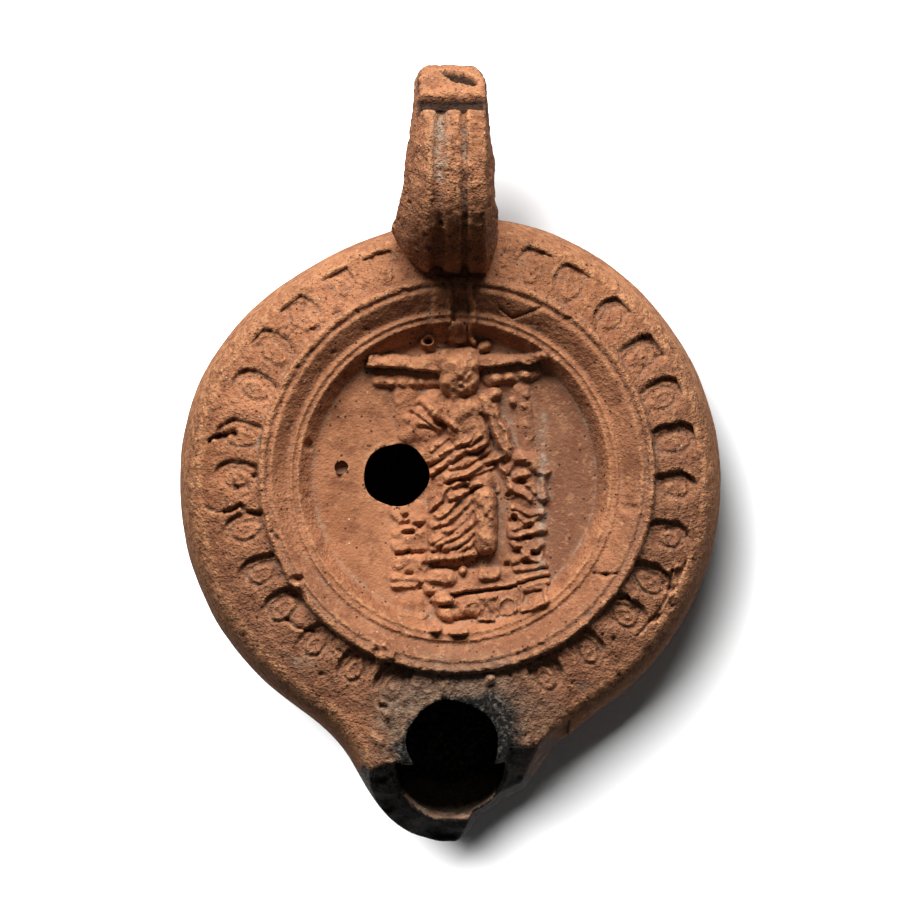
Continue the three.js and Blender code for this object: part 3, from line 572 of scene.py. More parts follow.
# %% The figure's cloak
CLOAK_FOLDS = [
    # From, to, half width, height, sag. Over the left shoulder and across the chest.
    ((-23, 48), (-2, 31), 2.7, 4.4, -0.8),
    ((-27, 42), (-12, 30), 2.4, 2.6, 0.0),
    ((-24, 33), (-12, 28), 2.2, 2.4, 1.0),
    ((-17, 17.5), (-7, 24), 1.8, 2.8, 0.0),
    ((-12, 14), (3, 22), 1.9, 2.6, -1.0),
    ((-18, 8.5), (8, 24.5), 2.3, 3.6, -1.0),
    ((8, 21), (15, 24.6), 1.7, 3.0, 0.0),
    ((7, 16.5), (19, 20.6), 1.8, 3.0, -0.5),
    # Round the waist and over the lap.
    ((-19, 2), (2, 15.0), 2.9, 5.0, -1.0),
    ((-4, 5.0), (19, 15.6), 2.7, 4.4, -0.8),
    ((-7, -2.0), (26, 12.4), 3.0, 5.2, -1.0),
    ((3, -1), (22, 5), 2.0, 2.6, 0.0),
    ((26, 9), (34, -13), 2.8, 4.6, 1.2),
    ((22, 3), (27, -10), 2.2, 2.4, 0.5),
    ((-5, -14), (13, -5.5), 2.4, 4.2, -0.6),
    ((-3, -7), (6, -4), 2.0, 3.2, 0.5),
    ((-18, -22), (-7, -8), 2.4, 3.6, -1.2),
    ((-13, -26), (2, -13), 2.2, 3.4, -1.0),
    # From the knee, fanning out to the hem.
    ((-15, -32), (9, -15), 2.6, 2.8, -1.6),
    ((-8, -35), (10.5, -21), 2.2, 2.4, -1.6),
    ((-17, -42), (-5, -34), 2.3, 2.6, -0.6),
    ((-13, -42.5), (11, -27), 2.7, 3.2, -2.0),
    ((-17, -48), (-9, -43), 2.0, 2.4, 0.0),
    ((-8, -46.5), (10.8, -34), 2.2, 2.8, -1.4),
    ((-2, -49), (10.8, -41), 1.8, 2.0, -0.8),
]


def model_cloak(clay):
    for start, end, width, height, sag in CLOAK_FOLDS:
        clay.fold(start, end, width, 0.85 * height, sag=sag)
        under = width + 0.8
        clay.fold((start[0], start[1] - under), (end[0], end[1] - under), 1.2, -0.28 * height, sag=sag)
    clay.ridge((-18, -53), (11, -49), 3.2, 9.4, lean=0.6)
    for x in np.linspace(-15, 6, 5):
        clay.fold((x, -45), (x - 1.5, -54), 1.2, -1.6)


# %% The footstool and the beast beside it
def model_footstool(clay):
    clay.ridge((-14, -70), (31, -66), 8.0, 5.6, power=0.5, lean=0.5)
    clay.ridge((4, -83), (33, -80), 9.0, 5.2, power=0.35)
    clay.fold((-6, -76.8), (36, -72.2), 1.1, -3.0)
    clay.fold((-6, -74.4), (36, -69.8), 1.4, 1.5)
    for centre, radius in (((8.6, -86.0), 5.6), ((32.2, -84.4), 5.4)):
        clay.arc(centre, radius, -20, 200, 1.8, 6.6)
        clay.lump((centre[0], centre[1] - 0.6), 2.6, 2.2, 6.2)
    clay.fold((14, -79), (24, -77.6), 1.6, 1.8)
    clay.fold((18, -84), (24, -90), 1.6, -2.4)
    clay.ridge((15, -91.5), (24, -90.5), 1.8, 5.6)
    clay.lump((-9, -79.5), 8.0, 5.6, 9.5, bearing=15)
    clay.lump((-7, -87.5), 7.0, 5.6, 8.8, bearing=-20)
    clay.fold((-16, -83), (-1, -84), 1.3, -2.6)
    clay.lump((-14, -98.6), 4.4, 3.0, 6.6, merge=0.3)
    clay.lump((0.6, -100.2), 7.0, 2.0, 5.6, merge=0.3)


# %% Lay stamps and relief on the body
share = DISCUS_RADIUS / 100
top = body_level >= first_top_ring
x, y = body_points[top, 0], body_points[top, 1]
clay = Clay(x / share, y / share)
for part in (model_throne, model_figure, model_cloak, model_footstool):
    part(clay)
places = np.stack([x, y], -1)
worn = 0.94 + 0.12 * noise(places, 1.3, 41) + 0.10 * noise(places, 0.6, 42)
relief = clay.height * share * worn
body_points[top, 2] += relief + stamp_depths(x, y)
print(f"relief up to {relief.max():.2f} mm high on {top.sum()} vertices")

# %% [markdown]
# ### Breaks, pits and crumbs
#
# The clay has been knocked, cracked and pitted since it was fired, and small lumps stuck to it in the
# kiln. Each mark could be painted, but a pit that catches the light has to be a real hollow. They are
# listed where they lie, in millimetres, and pressed into the surface or heaped on it.

# %% Marks on the top, as x, y, radius, height, and where one isn't round, its stretch along a bearing
ROUND = (1.0, 0)
MARKS = [
    (-4.1, 19.1, 0.6, -1.4),
    (-16.9, 0.5, 0.45, 0.5),
    (-15.9, 0.7, 0.35, 0.4),
    (-7.4, -6.0, 0.5, -0.7),
    (-5.4, -7.8, 0.45, -0.7),
    (-7.1, -11.1, 0.45, -0.7),
    (-6.4, -11.5, 0.4, -0.7),
    (-4.8, -12.9, 0.5, -0.7),
    (-5.4, -16.0, 0.5, -0.9, 1.3, 0),
    (8.2, -6.0, 0.5, -0.8, 1.2, 0),
    (10.6, -7.2, 0.5, -0.8, 1.2, 0),
    (9.0, -10.6, 0.5, -0.8, 1.3, 0),
    (11.0, -11.1, 0.5, -0.8),
    (7.3, -12.9, 0.6, -0.9, 1.2, 40),
    (9.3, -0.8, 0.6, -0.8, 1.2, -30),
    (7.6, -2.8, 0.5, -0.8, 1.4, 20),
    (-31.9, 6.0, 0.7, -1.3),
    (-33.6, 5.4, 0.6, -1.0, 2.0, 20),
    (-34.6, 5.5, 0.4, -0.7, 2.0, 0),
    (-36.2, 4.7, 0.6, -0.8, 1.6, 30),
    (-21.4, 4.2, 0.7, -0.9, 1.3, 90),
    (-28.9, -0.2, 0.6, -0.8),
    (-22.9, -14.8, 0.6, -1.1, 1.9, 0),
    (-22.6, -17.2, 1.0, -1.0, 1.6, -40),
    (-10.5, -25.1, 1.9, 0.55),
    (-11.6, -25.2, 0.6, -0.9),
    (-10.3, -24.0, 0.5, 0.5),
    (-9.4, -25.6, 0.6, 0.6),
    (-10.8, -26.3, 0.5, 0.5),
    (4.6, -29.2, 0.8, 1.1),
    (-2.0, -30.4, 0.6, 0.6),
    (11.9, -26.6, 0.45, 0.6),
    (10.4, -28.1, 0.5, -0.5),
    (34.1, -12.9, 1.3, -1.5, 1.3, 0),
    (32.4, -14.6, 1.2, -0.6, 1.4, -50),
    (31.6, -13.2, 0.6, 0.4),
    (33.4, -15.6, 0.7, 0.4),
    (31.2, -17.4, 0.9, 0.5),
    (30.8, -16.4, 0.5, -0.8, 1.8, 0),
    (28.9, -20.4, 0.5, -0.9, 1.8, 20),
    (24.7, -4.9, 1.1, -0.4, 1.2, -20),
    (21.3, -14.2, 0.35, -0.6),
    (20.9, -14.4, 0.3, -0.4, 3.0, 0),
    (35.3, 6.8, 0.6, -0.8, 1.6, -60),
    (36.0, 4.6, 0.7, -0.9, 1.4, -60),
    (34.3, 11.8, 0.5, -0.6, 1.6, -60),
    (-10.5, -33.1, 0.5, -0.5, 1.6, 10),
    (-9.9, -34.2, 0.7, 0.4, 2.0, -25),
    (-11.4, -37.8, 0.7, 0.5, 2.2, -35),
    (-5.2, 7.4, 0.3, 0.2),
]
CRACKS = [
    ([(-33.3, -5.3), (-31.9, -4.8), (-31.0, -4.2), (-30.4, -5.2), (-28.2, -5.6)], 0.35, -0.9),
    ([(-36.0, -4.6), (-34.6, -5.2), (-33.3, -5.3)], 0.25, -0.5),
    ([(-36.2, 4.7), (-34.4, 5.6), (-31.9, 6.2)], 0.25, -0.6),
    ([(6.1, 23.9), (7.9, 22.5), (11.9, 23.9)], 0.22, -0.4),
    ([(33.9, 12.7), (34.9, 9.4), (35.6, 6.6), (36.4, 3.6)], 0.3, -0.7),
    ([(28.1, 16.9), (29.3, 17.3), (30.4, 17.1)], 0.25, -0.6),
    ([(30.9, -13.5), (30.2, -17.2), (28.6, -19.9), (25.8, -23.0)], 0.22, -0.5),
    ([(19.5, -14.0), (21.3, -14.2), (22.8, -14.0)], 0.2, -0.45),
    ([(-26.5, -8.0), (-25.6, -9.2)], 0.25, -0.5),
    ([(-24.4, -20.6), (-22.9, -21.8), (-20.4, -22.4)], 0.25, -0.5),
]


def marked(x, y):
    """Height added by every mark and crack at the points x, y."""
    added = np.zeros(len(x))
    places = np.stack([x, y], -1)
    wander = 0.25 * noise(places, 0.8, 51)
    for centre_x, centre_y, radius, height, *stretched in MARKS:
        stretch, bearing = stretched or ROUND
        turn = math.radians(bearing)
        along = (x - centre_x) * math.cos(turn) + (y - centre_y) * math.sin(turn)
        across = -(x - centre_x) * math.sin(turn) + (y - centre_y) * math.cos(turn)
        distance = np.hypot(along / stretch, across) / radius + wander
        added += height * np.maximum(1 - distance ** 2, 0) ** 0.7
    for path, width, depth in CRACKS:
        form = np.zeros(len(x))
        for (ax, ay), (bx, by) in itertools.pairwise(path):
            length = (bx - ax) ** 2 + (by - ay) ** 2
            t = np.clip(((x - ax) * (bx - ax) + (y - ay) * (by - ay)) / length, 0, 1)
            distance = np.hypot(x - lerp(ax, bx, t), y - lerp(ay, by, t)) / width + wander
            form = np.maximum(form, np.maximum(1 - distance ** 2, 0))
        added += depth * form ** 0.6
    return added


body_points[top, 2] += marked(x, y)
for vertex, place in zip(body_bm.verts, body_points):
    vertex.co = place
print(f"{len(MARKS)} marks and {len(CRACKS)} cracks")

# %% [markdown]
# ### The ring handle
#
# The handle is a thick ring of clay, thumbed on by hand: its flanks are uneven and flare towards the root,
# two grooves run along the outer face and one crosses it behind the top, with a chip gone behind that, and
# its far end is rounded off. It could be a curve with a thickness, but its section changes all the way
# round. So a spin about the finger hole's axis gives the ring, and the section is then narrowed, grooved
# and flared by moving its vertices according to how far round they are.

# %% Spin and shape the handle
HANDLE_CENTRE = (43.6, 27.6)  # y and z of the finger hole
HANDLE_HOLE_RADIUS = 6.0
HANDLE_RADIUS = 14.8
HANDLE_LEFT = 7.3
HANDLE_RIGHT = 5.3
HANDLE_FACE = 3.9
HANDLE_BACK_FACE = 0.87  # behind, the outer face spreads to this share of the flanks
HANDLE_GROOVES = ((1.0, 0.5), (-2.5, 0.85))  # middle and half width
HANDLE_GROOVE_DEPTH = 0.9
HANDLE_CHIP = (0.4, math.radians(60), 2.9, 2.0)  # across, round the ring, half width, half length
HANDLE_CHIP_DEPTH = 1.7
HANDLE_END_ROUND = 3.6  # how far from its far end the handle starts to round off
CROSS_GROOVE = math.radians(37)
CROSS_HALF_WIDTH = 0.085  # radians round the ring
CROSS_DEPTH = 1.7
ROOT_START = 44.0  # y from which the flanks flare towards the root
ROOT_FLARE = (0.42, 0.2)  # left and right, over ten millimetres
HANDLE_STEPS = 300
SECTION_STEP = 0.3  # from one point of the section to the next


def handle_flank(width, side):
    """Half of the ring's section: points across, and outwards as a share of the ring's thickness."""
    half = [(0.0, 0.0), (0.85 * width, 0.0), (width, 0.3), ((width + HANDLE_FACE) / 2, 0.75)]
    return [(side * across, outwards) for across, outwards in half + [(HANDLE_FACE, 1.0)]]


def handle_section():
    """The ring's section as points across and outwards, from the right flank round to the left."""
    thick = HANDLE_RADIUS - HANDLE_HOLE_RADIUS
    corners = handle_flank(HANDLE_RIGHT, 1) + handle_flank(HANDLE_LEFT, -1)[::-1]
    corners = np.array([(a, HANDLE_HOLE_RADIUS + o * thick) for a, o in corners])
    along = np.concatenate([[0], np.cumsum(np.linalg.norm(np.diff(corners, axis=0), axis=1))])
    count = int(along[-1] / SECTION_STEP)
    even = np.linspace(0, along[-1], count + 1)[:-1]
    section = np.stack([np.interp(even, along, corners[:, axis]) for axis in (0, 1)], -1)
    for _ in range(3):
        section = (np.roll(section, 1, 0) + 2 * section + np.roll(section, -1, 0)) / 4
    return section


def handle_mesh(steps):
    bm = bmesh.new()
    section = [bm.verts.new((across, 0, out)) for across, out in handle_section()]
    edges = [bm.edges.new((a, b)) for a, b in zip(section, section[1:] + section[:1])]
    spin(bm, section + edges, (1, 0, 0), steps)
    points = np.array([vertex.co for vertex in bm.verts])
    across = points[:, 0]
    out = np.hypot(points[:, 1], points[:, 2])
    angle = np.arctan2(points[:, 1], points[:, 2])
    behind = np.clip(np.sin(angle), 0, 1)
    # Behind, the narrow outer face spreads almost to the width of the flanks.
    flank = np.where(across > 0, HANDLE_RIGHT, HANDLE_LEFT)
    outward = np.clip((out - HANDLE_HOLE_RADIUS) / (HANDLE_RADIUS - HANDLE_HOLE_RADIUS), 0, 1)
    narrow = lerp(flank, HANDLE_FACE, np.clip((outward - 0.3) / 0.7, 0, 1))
    square = lerp(flank, HANDLE_BACK_FACE * flank, np.clip((outward - 0.3) / 0.7, 0, 1))
    across = across * np.where(outward > 0.3, lerp(1.0, square / narrow, behind), 1.0)
    outer = smoothstep(0.86, 0.98, outward)
    grooved = smoothstep(0.0, 0.05, CROSS_GROOVE - angle) * smoothstep(-2.9, -2.6, angle)
    for middle, half_width in HANDLE_GROOVES:
        out = out - HANDLE_GROOVE_DEPTH * np.exp(-(((across - middle) / half_width) ** 4)) * outer * grooved
    cross = np.exp(-(((angle - CROSS_GROOVE) / CROSS_HALF_WIDTH) ** 6))
    cross = cross * smoothstep(-6.6, -5.0, across) * smoothstep(5.2, 3.2, across)
    out = out - CROSS_DEPTH * cross * outer
    chip_along = (angle - HANDLE_CHIP[1]) * HANDLE_RADIUS + 0.55 * (across - HANDLE_CHIP[0])
    chip = np.hypot((across - HANDLE_CHIP[0]) / HANDLE_CHIP[2], chip_along / HANDLE_CHIP[3])
    chip = chip + 0.25 * noise(points, 1.2, 61)
    out = out - HANDLE_CHIP_DEPTH * np.maximum(1 - chip ** 2, 0) ** 0.4 * outer
    # The front was pressed flat, the flanks flare towards the body, and the far end is rounded off.
    out = out - 0.9 * np.exp(-(((angle + 0.95) / 0.4) ** 2)) * outward
    y = HANDLE_CENTRE[0] + out * np.sin(angle)
    flare = np.where(across > 0, ROOT_FLARE[1], ROOT_FLARE[0]) * (np.maximum(ROOT_START - y, 0) / 10) ** 2
    flare = (np.where(across > 0, 0.02, 0.06) + flare) * (1 - 0.85 * outward)
    beyond = np.maximum(y - (HANDLE_CENTRE[0] + HANDLE_RADIUS - HANDLE_END_ROUND), 0) / HANDLE_END_ROUND
    across = across * (1 - 0.2 * behind + flare) * (1 - 0.24 * beyond ** 3) - 0.5 * beyond ** 2
    places = np.stack([across, y, HANDLE_CENTRE[1] + out * np.cos(angle)], -1)
    for vertex, place in zip(bm.verts, places):
        vertex.co = place
    bmesh.ops.recalc_face_normals(bm, faces=bm.faces)
    return bm


handle_bm = handle_mesh(HANDLE_STEPS)
print(f"handle: {len(handle_bm.verts)} vertices")

# %% [markdown]
# ### Chamber, holes and break
#
# The lamp is hollow, so an inner skin one wall inside the outer one is cut out of it, with the filling
# hole, the wick hole and a blind prick. The nozzle's front snapped off long ago: a block whose underside is
# a rough, falling surface takes that clay away. Ahead of the wick hole the whole top wall is gone between
# the nozzle's walls, so the block dips there, but stays above the chamber's floor. The break could be
# sculpted, but cutting with booleans keeps the wall's real thickness in sight wherever the lamp is open.

# %% The oil chamber
CHAMBER_STEPS = 120
CHAMBER_FOCUS = 0.3
CHAMBER_DISH = 0.2
floor_height = BASE_GROOVE_DEPTH + WALL
chamber_rings = [level(0.0, floor_height)]
chamber_rings += side_levels(
    BASE_RADIUS - WALL / 2, floor_height + CHAMBER_DISH, WALL, SHOULDER_EDGE_HEIGHT - WALL, 12
)
chamber_rings += [
    level(RIM_RADIUS, RIM_FOOT_HEIGHT - WALL, shift=0.0),
    level(DISCUS_RADIUS, DISCUS_EDGE_HEIGHT - WALL, shift=0.0),
    level(0.0, DISCUS_HEIGHT - WALL, shift=0.0),
]
chamber_bm, _, _ = turned_skin(chamber_rings, CHAMBER_STEPS, CHAMBER_FOCUS)

# %% Holes with slightly uneven sides
ABOVE = 50.0  # clear of the whole lamp


def drill(hole, low, high, seed):
    """An upright cutter whose round wall wavers a little, as a hole cut in soft clay does."""
    centre_x, centre_y, radius = hole
    bm = bmesh.new()
    bmesh.ops.create_cone(bm, cap_ends=True, segments=72, radius1=radius, radius2=radius, depth=high - low)
    for vertex in bm.verts:
        turn = math.atan2(vertex.co.y, vertex.co.x)
        waver = 1 + 0.03 * math.sin(2 * turn + seed) + 0.02 * math.sin(5 * turn + 2 * seed)
        vertex.co.x = centre_x + vertex.co.x * waver
        vertex.co.y = centre_y + vertex.co.y * waver
        vertex.co.z += (low + high) / 2
    return bm


# %% The break in the nozzle
BREAK_LEFT_START = -0.5  # how far ahead of the nozzle's centre the left wall starts to fall, and how fast
BREAK_LEFT_SLOPE = 0.95
BREAK_RIGHT_START = -3.0
BREAK_RIGHT_STEP = 1.5
BREAK_RIGHT_SLOPE = 1.1
BREAK_RISE = 5.0  # how steeply the block climbs away behind where a wall starts to fall
BREAK_RIGHT_FROM = (4.5, 7.5)  # x over which the left wall's break passes into the right one's
TOP_GONE_START = -0.4  # ahead of this the top wall is gone as far as the nozzle's walls
TOP_GONE_HEIGHT = 15.0  # below the top wall and above the chamber's floor
BREAK_CHORD = 9.0  # from the nozzle's centre to the edge snapped off the front right
BREAK_CHORD_BEARING = math.radians(-52.8)
BREAK_CHORD_HEIGHT = 11.0
BREAK_CHORD_SLOPE = 5.0
# How far the edge across the front right bulges out, at places along it from the tip to the shoulder.
BREAK_CHORD_ALONG = [-5.0, -3.1, -1.7, 0.3, 2.5, 4.8, 6.6, 8.2, 13.4]
BREAK_CHORD_BULGE = [1.2, 0.5, -0.3, 0.0, -0.1, 0.2, 0.7, 0.1, -1.6]
LOST_CENTRE = (1.0, -50.0)  # the block that takes the lost clay away
LOST_HALF = 15.2
LOST_CELLS = 110


def break_height(x, y):
    """Height of the broken surface over each point, above which the clay is gone."""
    forward = -y - NOZZLE_CENTRE
    right = smoothstep(*BREAK_RIGHT_FROM, x)
    falling = 0
    for share, start, step, slope in (
        (1 - right, BREAK_LEFT_START, 0.0, BREAK_LEFT_SLOPE),
        (right, BREAK_RIGHT_START, BREAK_RIGHT_STEP, BREAK_RIGHT_SLOPE),
    ):
        ahead = forward - start
        drop = step * smoothstep(0, 0.4, ahead) + np.where(ahead > 0, slope, BREAK_RISE) * ahead
        falling = falling + share * (SHOULDER_EDGE_HEIGHT + 0.4 - drop)
    inner = NOZZLE_RADIUS - WALL
    within = smoothstep(inner + 0.6, inner, np.hypot(x - NOZZLE_X, forward))
    gone = smoothstep(-0.2, 0.3, forward - TOP_GONE_START + 0.3 * noise(np.stack([x, y], -1), 1.2, 7))
    falling = lerp(falling, np.minimum(falling, TOP_GONE_HEIGHT), within * gone)
    turn = BREAK_CHORD_BEARING
    past = (x - NOZZLE_X) * math.cos(turn) - forward * math.sin(turn)
    along = -(x - NOZZLE_X) * math.sin(turn) - forward * math.cos(turn)
    edge = BREAK_CHORD + np.interp(along, BREAK_CHORD_ALONG, BREAK_CHORD_BULGE)
    face = BREAK_CHORD_HEIGHT - BREAK_CHORD_SLOPE * (past - edge)
    points = np.stack([x, y], -1)
    rough = 0.6 * noise(points, 2.6, 3) + 0.4 * noise(points, 1.1, 5) + 0.15 * noise(points, 0.5, 6)
    rough = rough * smoothstep(0, 3, forward - BREAK_RIGHT_START)
    return np.minimum(np.minimum(falling, face), ABOVE - 4) + rough


def lost_clay():
    bm = bmesh.new()
    bmesh.ops.create_grid(bm, x_segments=LOST_CELLS, y_segments=LOST_CELLS, size=LOST_HALF)
    for vertex in bm.verts:
        vertex.co.x += LOST_CENTRE[0]
        vertex.co.y += LOST_CENTRE[1]
    points = np.array([vertex.co for vertex in bm.verts])
    for vertex, height in zip(bm.verts, break_height(points[:, 0], points[:, 1])):
        vertex.co.z = height
    walls = bmesh.ops.extrude_face_region(bm, geom=bm.faces[:])
    for item in walls["geom"]:
        if isinstance(item, bmesh.types.BMVert):
            item.co.z = ABOVE
    bmesh.ops.recalc_face_normals(bm, faces=bm.faces)
    return bm


# %% Join the handle and cut the hollows
def object_of(bm, name):
    mesh = bpy.data.meshes.new(name)
    bm.to_mesh(mesh)
    bm.free()
    piece = bpy.data.objects.new(name, mesh)
    bpy.context.collection.objects.link(piece)
    return piece


def combine(piece, tool, operation):
    """Applies one boolean to the piece and throws the tool away."""
    step = piece.modifiers.new("cut", "BOOLEAN")
    step.object = tool
    step.operation = operation
    step.solver = "MANIFOLD"
    done = bpy.data.meshes.new_from_object(piece.evaluated_get(bpy.context.evaluated_depsgraph_get()))
    piece.modifiers.clear()
    old = piece.data
    piece.data = done
    bpy.data.meshes.remove(old)
    bpy.data.objects.remove(tool)
    print(f"{operation.lower()}: {len(done.vertices)} vertices, {len(done.polygons)} faces")


lamp_clay = object_of(body_bm, "lamp_clay")
combine(lamp_clay, object_of(handle_bm, "handle_tool"), "UNION")
for cutter in (
    chamber_bm,
    drill(FILL_HOLE, WIDEST_HEIGHT, ABOVE, 1.0),
    drill(WICK_HOLE, WIDEST_HEIGHT, ABOVE, 2.5),
    drill(VENT_PRICK, VENT_BOTTOM, ABOVE, 0.4),
    lost_clay(),
):
    combine(lamp_clay, object_of(cutter, "cutter"), "DIFFERENCE")

# %% [markdown]
# ### Surface of the clay
#
# Fired clay is never smooth: slow undulations from the mould and the hand, then lumps of grit, then grain.
# The slow and middle ones are real shape and move the vertices along their normals. Only the finest grain
# is left to the material's bump.

# %% Undulate the surface
SMOOTHEST = 0.12
COARSEST = 1.3


def points_and_normals(mesh):
    """The mesh's points and their normals, as two arrays."""
    count = len(mesh.vertices)
    points = np.empty(count * 3)
    mesh.vertices.foreach_get("co", points)
    normals = np.empty(count * 3)
    mesh.vertices.foreach_get("normal", normals)
    return points.reshape(-1, 3), normals.reshape(-1, 3)


def coarseness(points):
    """How granular the clay is at each point: rough on rim, shoulder, figure and handle, else smoother."""
    radius = np.hypot(points[:, 0], points[:, 1])
    on_top = smoothstep(21.0, 24.0, points[:, 2])
    discus = 1 - smoothstep(20.0, 23.0, radius)
    raised = smoothstep(0.25, 0.8, points[:, 2] - discus_floor(radius)) * discus
    handle = smoothstep(29.0, 31.0, points[:, 2]) * (points[:, 1] > 27)
    band = smoothstep(21.0, 22.5, radius) * smoothstep(28.0, 26.5, radius)
    coarse = on_top * (1 - 0.8 * discus) * (1 - 0.5 * band) + 0.3 * raised + 0.4 * handle
    return np.clip(coarse, SMOOTHEST, COARSEST)


points, normals = points_and_normals(lamp_clay.data)
coarse = coarseness(points)
swell = 0.10 * noise(points, 9.0, 11) + 0.06 * noise(points, 3.2, 12)
grains = 0.10 * noise(points, 1.4, 13) + 0.09 * noise(points, 0.75, 14) + 0.06 * noise(points, 0.45, 15)
swell += coarse * grains
pitted = noise(points, 1.1, 16) + 0.6 * noise(points, 0.55, 17)
swell -= coarse * 0.3 * smoothstep(0.7, 1.1, pitted)
standing = smoothstep(0.3, 1.5, points[:, 2])
points = points + normals * (swell * standing)[:, None]
lamp_clay.data.vertices.foreach_set("co", points.ravel())
lamp_clay.data.update()

# %% Thin the mesh where it is flat
MOST_TRIANGLES = 196000
triangles = sum(len(face.vertices) - 2 for face in lamp_clay.data.polygons)
thin = lamp_clay.modifiers.new("thin", "DECIMATE")
thin.ratio = min(1.0, MOST_TRIANGLES / triangles)
thinned = bpy.data.meshes.new_from_object(lamp_clay.evaluated_get(bpy.context.evaluated_depsgraph_get()))
lamp_clay.modifiers.clear()
lamp_clay.data = thinned
print(f"thinned from {triangles} to {sum(len(f.vertices) - 2 for f in thinned.polygons)} triangles")

# %% [markdown]
# ### Where dust, wear and soot lie, and where shade and light are painted
#
# Dust settles in hollows, edges rub bright, and the flame blackened the nozzle. A painter would mask these
# by eye. Here they are measured from the mesh itself and kept as attributes, so that the material can read
# them: how hollow or sharp each spot is, and how near it is to the flame. Some of them paint light and shade
# into the colour. Near-black painted shade fills the handle's cross groove and chip, its front and deep pits,
# and smoke is the grey haze round the wick hole. A darker slip is left on the side, and it also paints shade
# on the side walls and the left edge. Grain says how granular the clay is. The right of the discus is painted
# greyer, and the lower shoulder darker as painted shade. The inside of the chamber is painted dark as shade,
# and the broken edges are darkened too. The dust also paints light on the inner face of the nozzle's front
# wall, and the wear adds a painted highlight on edges and on the raised figure.

# %% Measure hollows and edges
def spread(values, edges, count, times):
    """Averages values over neighbouring vertices, several times."""
    degree = np.bincount(edges.ravel(), minlength=count)
    for _ in range(times):
        total = np.bincount(edges[:, 0], values[edges[:, 1]], count)
        total += np.bincount(edges[:, 1], values[edges[:, 0]], count)
        values = (values + total / np.maximum(degree, 1)) / 2
    return values


mesh = lamp_clay.data
points, normals = points_and_normals(mesh)
count = len(points)
edges = np.empty(len(mesh.edges) * 2, dtype=np.int32)
mesh.edges.foreach_get("vertices", edges)
edges = edges.reshape(-1, 2)


def hollowness(times):
    """Millimetres that each vertex lies below its surroundings, over a circle that grows with times."""
    around = np.stack([spread(points[:, axis], edges, count, times) for axis in range(3)], -1)
    return np.einsum("ij,ij->i", around - points, normals)


narrow = hollowness(3)
broad = hollowness(24)
x, y, z = points.T
radius = np.hypot(x, y)
wander = noise(points, 4.0, 21) + 0.6 * noise(points, 1.5, 22)

# %% Dust, in hollows, beside the throne, in the handle's left groove and on the shoulder by the nozzle
hollow = smoothstep(0.02, 0.10, narrow) * 0.5 + smoothstep(0.05, 0.4, broad) * 0.6
beside_throne = np.exp(-(((x - 12.2 - 0.02 * y) / 0.55) ** 2)) * (y < 9) * (y > -14) * (radius < 21)
handle_groove = np.exp(-(((x + 2.4) / 1.0) ** 2)) * smoothstep(39, 43, y) * (y < 51.4) * (z > 38)
dust_and_painted_light = hollow * 0.55 + beside_throne * 0.9 + handle_groove * 0.9
dust_and_painted_light += 0.35 * smoothstep(0.2, 1.0, wander) * smoothstep(24, 27, -y) * (radius < 36)

# %% Wear on edges and on the raised figure, partly a painted highlight
wear = smoothstep(0.01, 0.10, -narrow) * 0.6 + smoothstep(0.05, 0.4, -broad) * 0.5
raised = smoothstep(1.4, 2.6, z - discus_floor(radius))
wear += 0.5 * raised * (radius < 19.5)

# %% Painted shade: near-black paint in the handle's cross groove, its chip, its shaded front, and in deep pits
groove_angle = np.arctan2(y - HANDLE_CENTRE[0], z - HANDLE_CENTRE[1])
sunk = HANDLE_RADIUS - np.hypot(y - HANDLE_CENTRE[0], z - HANDLE_CENTRE[1])
on_handle = ((z > 27) & (y > 27)) * smoothstep(5.6, 4.8, np.abs(x + 0.5)) * smoothstep(2.6, 2.1, sunk)
in_cross = smoothstep(0.14, 0.09, np.abs(groove_angle - CROSS_GROOVE)) * smoothstep(0.4, 1.1, sunk)
in_chip = smoothstep(0.3, 0.2, np.abs(groove_angle - HANDLE_CHIP[1])) * smoothstep(0.35, 0.9, sunk)
handle_front = 0.35 * smoothstep(-0.75, -1.0, groove_angle) * smoothstep(4.5, 3.5, np.abs(x))
painted_shade = on_handle * np.maximum.reduce([in_cross, in_chip, handle_front])
# Deep pits are darkened too: painted shade in recesses.
painted_shade = np.maximum(painted_shade, smoothstep(0.08, 0.2, narrow) * 0.7)

# %% Soot and smoke from the flame
from_hole = np.hypot(x - WICK_HOLE[0], y - WICK_HOLE[1]) - WICK_HOLE[2]
rightward = smoothstep(1.0, 7.0, x)
leftward = smoothstep(-6.5, -9.0, x) * smoothstep(36.5, 40.0, -y)
ring = 1 - smoothstep(0.0, 1.1 + 7.0 * rightward + 5.0 * leftward, from_hole + 0.9 * wander)
front = smoothstep(42.0, 45.5, -y + wander + 1.6 * smoothstep(-7.0, -9.0, x))
broken = (np.abs(z - break_height(x, y)) < 0.4) * (y < -38)
# Painted light: pale paint on the inner face of the nozzle's front wall, which faces the light. Soot is kept
# off it.
inner_front = (y < -44.5) & (y > -49.8) & (np.abs(x - NOZZLE_X) < 6.5) & (z < 18) & (normals[:, 1] > 0.2)
soot = np.maximum(ring, front) * (1 - inner_front)
dust_and_painted_light += 0.55 * inner_front
smoke = 1 - smoothstep(1.0, 8.5, from_hole + 2.0 * wander - 2.5 * rightward)

# %% Slip and painted shade on the side, grain, greyer clay and painted shade on the shoulder, and painted shade inside the chamber
# A darker, redder slip low on the side, reaching higher at the left edge. It is also painted shade on the
# side walls and on that edge.
leftmost = smoothstep(-24.0, -36.0, x)
slip_and_side_shade = 1 - smoothstep(18.5, 22.5, z - 4.0 * leftmost + 0.8 * noise(points, 3.0, 23))
grain = coarseness(points) / COARSEST
